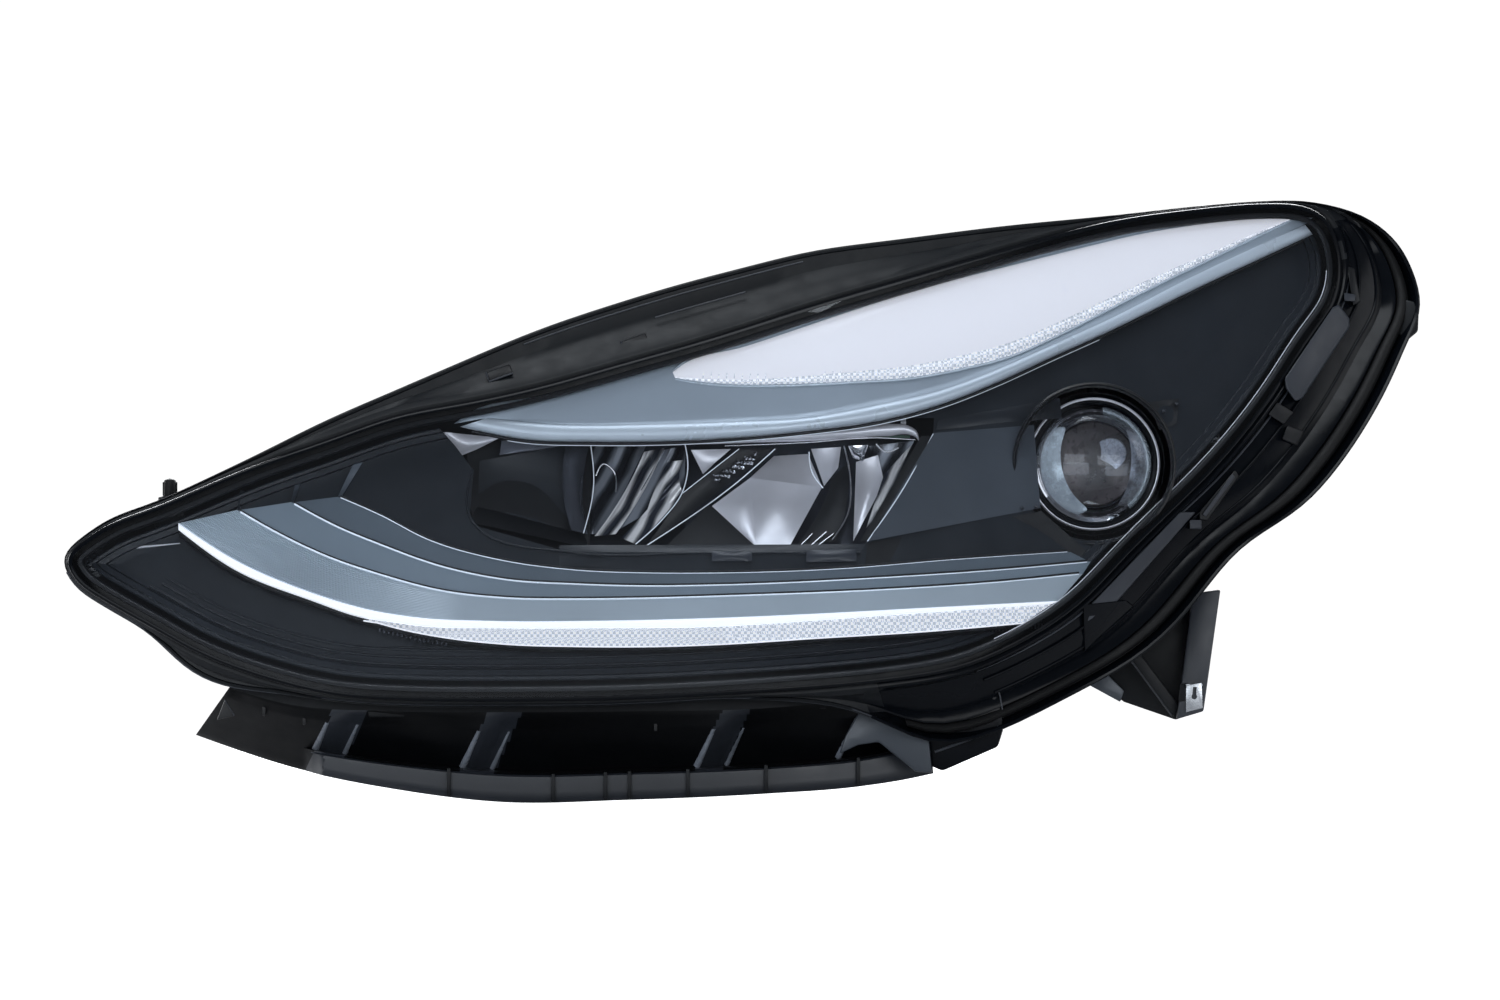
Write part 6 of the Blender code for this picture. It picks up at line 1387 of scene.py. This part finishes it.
# ------------------------------------------------------------ floor, lights, camera
floor_z = CAD_BOX[0][2] - 0.0015
me = bpy.data.meshes.new("floor")
me.from_pydata([(-9, -9, floor_z), (9, -9, floor_z), (9, 9, floor_z), (-9, 9, floor_z)], [], [(0, 1, 2, 3)])
floor = bpy.data.objects.new("floor", me)
bpy.context.scene.collection.objects.link(floor)
fm, nt, out = nodes_of("studio_floor")
pb = nt.nodes.new("ShaderNodeBsdfPrincipled")
pb.inputs["Base Color"].default_value = (0.62, 0.62, 0.63, 1)
pb.inputs["Roughness"].default_value = 0.9
pb.inputs["Specular IOR Level"].default_value = 0.0
pb.inputs["Emission Color"].default_value = (1, 1, 1, 1)
pb.inputs["Emission Strength"].default_value = 0.0
nt.links.new(bump(nt, noise(nt, 40, 3, 0.5), 0.05, 0.0005), pb.inputs["Normal"])
glow = nt.nodes.new("ShaderNodeEmission")
glow.inputs["Color"].default_value = (1, 1, 1, 1)
glow.inputs["Strength"].default_value = 1.0
both = nt.nodes.new("ShaderNodeAddShader")
pick = nt.nodes.new("ShaderNodeMixShader")
fl = nt.nodes.new("ShaderNodeLightPath")
nt.links.new(pb.outputs["BSDF"], both.inputs[0])
nt.links.new(glow.outputs["Emission"], both.inputs[1])
nt.links.new(fl.outputs["Is Camera Ray"], pick.inputs["Fac"])
nt.links.new(pb.outputs["BSDF"], pick.inputs[1])
nt.links.new(both.outputs["Shader"], pick.inputs[2])
nt.links.new(pick.outputs["Shader"], out.inputs["Surface"])
me.materials.append(fm)

sc = bpy.context.scene
w = bpy.data.worlds.new("studio")
sc.world = w
w.use_nodes = True
nt = w.node_tree
nt.nodes.clear()
wo = nt.nodes.new("ShaderNodeOutputWorld")
b_cam = nt.nodes.new("ShaderNodeBackground")
b_cam.inputs["Color"].default_value = (1, 1, 1, 1)
b_cam.inputs["Strength"].default_value = 1.05
b_env = nt.nodes.new("ShaderNodeBackground")
b_env.inputs["Strength"].default_value = 0.11
tc = nt.nodes.new("ShaderNodeTexCoord")
sp = nt.nodes.new("ShaderNodeSeparateXYZ")
nt.links.new(tc.outputs["Generated"], sp.inputs["Vector"])
nt.links.new(ramp(nt, sp.outputs["Z"], [(0.0, (0.20, 0.22, 0.25)), (0.12, (0.55, 0.62, 0.72)), (0.55, (1.0, 1.05, 1.15))]), b_env.inputs["Color"])
b_lobe = nt.nodes.new("ShaderNodeBackground")
dot = nt.nodes.new("ShaderNodeVectorMath")
dot.operation = "DOT_PRODUCT"
dot.inputs[1].default_value = (0.0, -1.0, 0.0)
nt.links.new(tc.outputs["Generated"], dot.inputs[0])
mr = nt.nodes.new("ShaderNodeMapRange")
mr.interpolation_type = "SMOOTHSTEP"
mr.inputs["From Min"].default_value = 0.80
mr.inputs["From Max"].default_value = 0.98
mr.inputs["To Max"].default_value = 1.05
nt.links.new(dot.outputs["Value"], mr.inputs["Value"])
nt.links.new(mr.outputs["Result"], b_lobe.inputs["Strength"])
b_lobe.inputs["Color"].default_value = (0.90, 0.95, 1.0, 1)
env_sum = nt.nodes.new("ShaderNodeAddShader")
nt.links.new(b_env.outputs["Background"], env_sum.inputs[0])
nt.links.new(b_lobe.outputs["Background"], env_sum.inputs[1])
lp = nt.nodes.new("ShaderNodeLightPath")
mx = nt.nodes.new("ShaderNodeMixShader")
nt.links.new(lp.outputs["Is Camera Ray"], mx.inputs["Fac"])
nt.links.new(env_sum.outputs["Shader"], mx.inputs[1])
nt.links.new(b_cam.outputs["Background"], mx.inputs[2])
nt.links.new(mx.outputs["Shader"], wo.inputs["Surface"])


def area(name, loc, target, size, power, colour=(1, 1, 1)):
    d = bpy.data.lights.new(name, "AREA")
    d.shape = "RECTANGLE"
    d.size, d.size_y = size
    d.energy = power
    d.color = colour
    ob = bpy.data.objects.new(name, d)
    sc.collection.objects.link(ob)
    ob.location = loc
    ob.rotation_euler = (Vector(target) - Vector(loc)).to_track_quat("-Z", "Y").to_euler()
    return ob


mid = (0.0, -0.05, -0.1)
area("key_top", (-0.2, -0.35, 2.3), mid, (2.4, 0.9), 32, (0.90, 0.95, 1.0))
area("front_left", (-1.6, -2.4, 0.35), mid, (2.2, 0.9), 18, (0.90, 0.95, 1.0))
area("front_right", (1.5, -2.6, 0.25), mid, (2.2, 0.9), 15.5, (0.94, 0.97, 1.0))
area("side_right", (2.6, 0.1, 0.8), mid, (0.7, 1.4), 5, (0.95, 0.97, 1.0))
area("rear_fill", (0.3, 2.4, 1.0), mid, (2.4, 1.0), 85, (0.95, 0.97, 1.0))
area("rear_left", (-2.2, 1.6, 0.5), mid, (0.9, 1.1), 22, (0.95, 0.97, 1.0))
area("low_strip", (0.2, -1.8, -0.9), (0, 0, -0.2), (2.2, 0.25), 2.0, (0.92, 0.96, 1.0))

cam_d = bpy.data.cameras.new("camera")
cam_d.sensor_width = 36
cam_d.lens = 576
cam_d.clip_end = 100
cam = bpy.data.objects.new("camera", cam_d)
sc.collection.objects.link(cam)
cam.location = (0.0, -12.105, -0.106)
cam.rotation_euler = (math.radians(90), 0, 0)
sc.camera = cam
sc.view_settings.view_transform = "Standard"
sc.view_settings.look = "None"
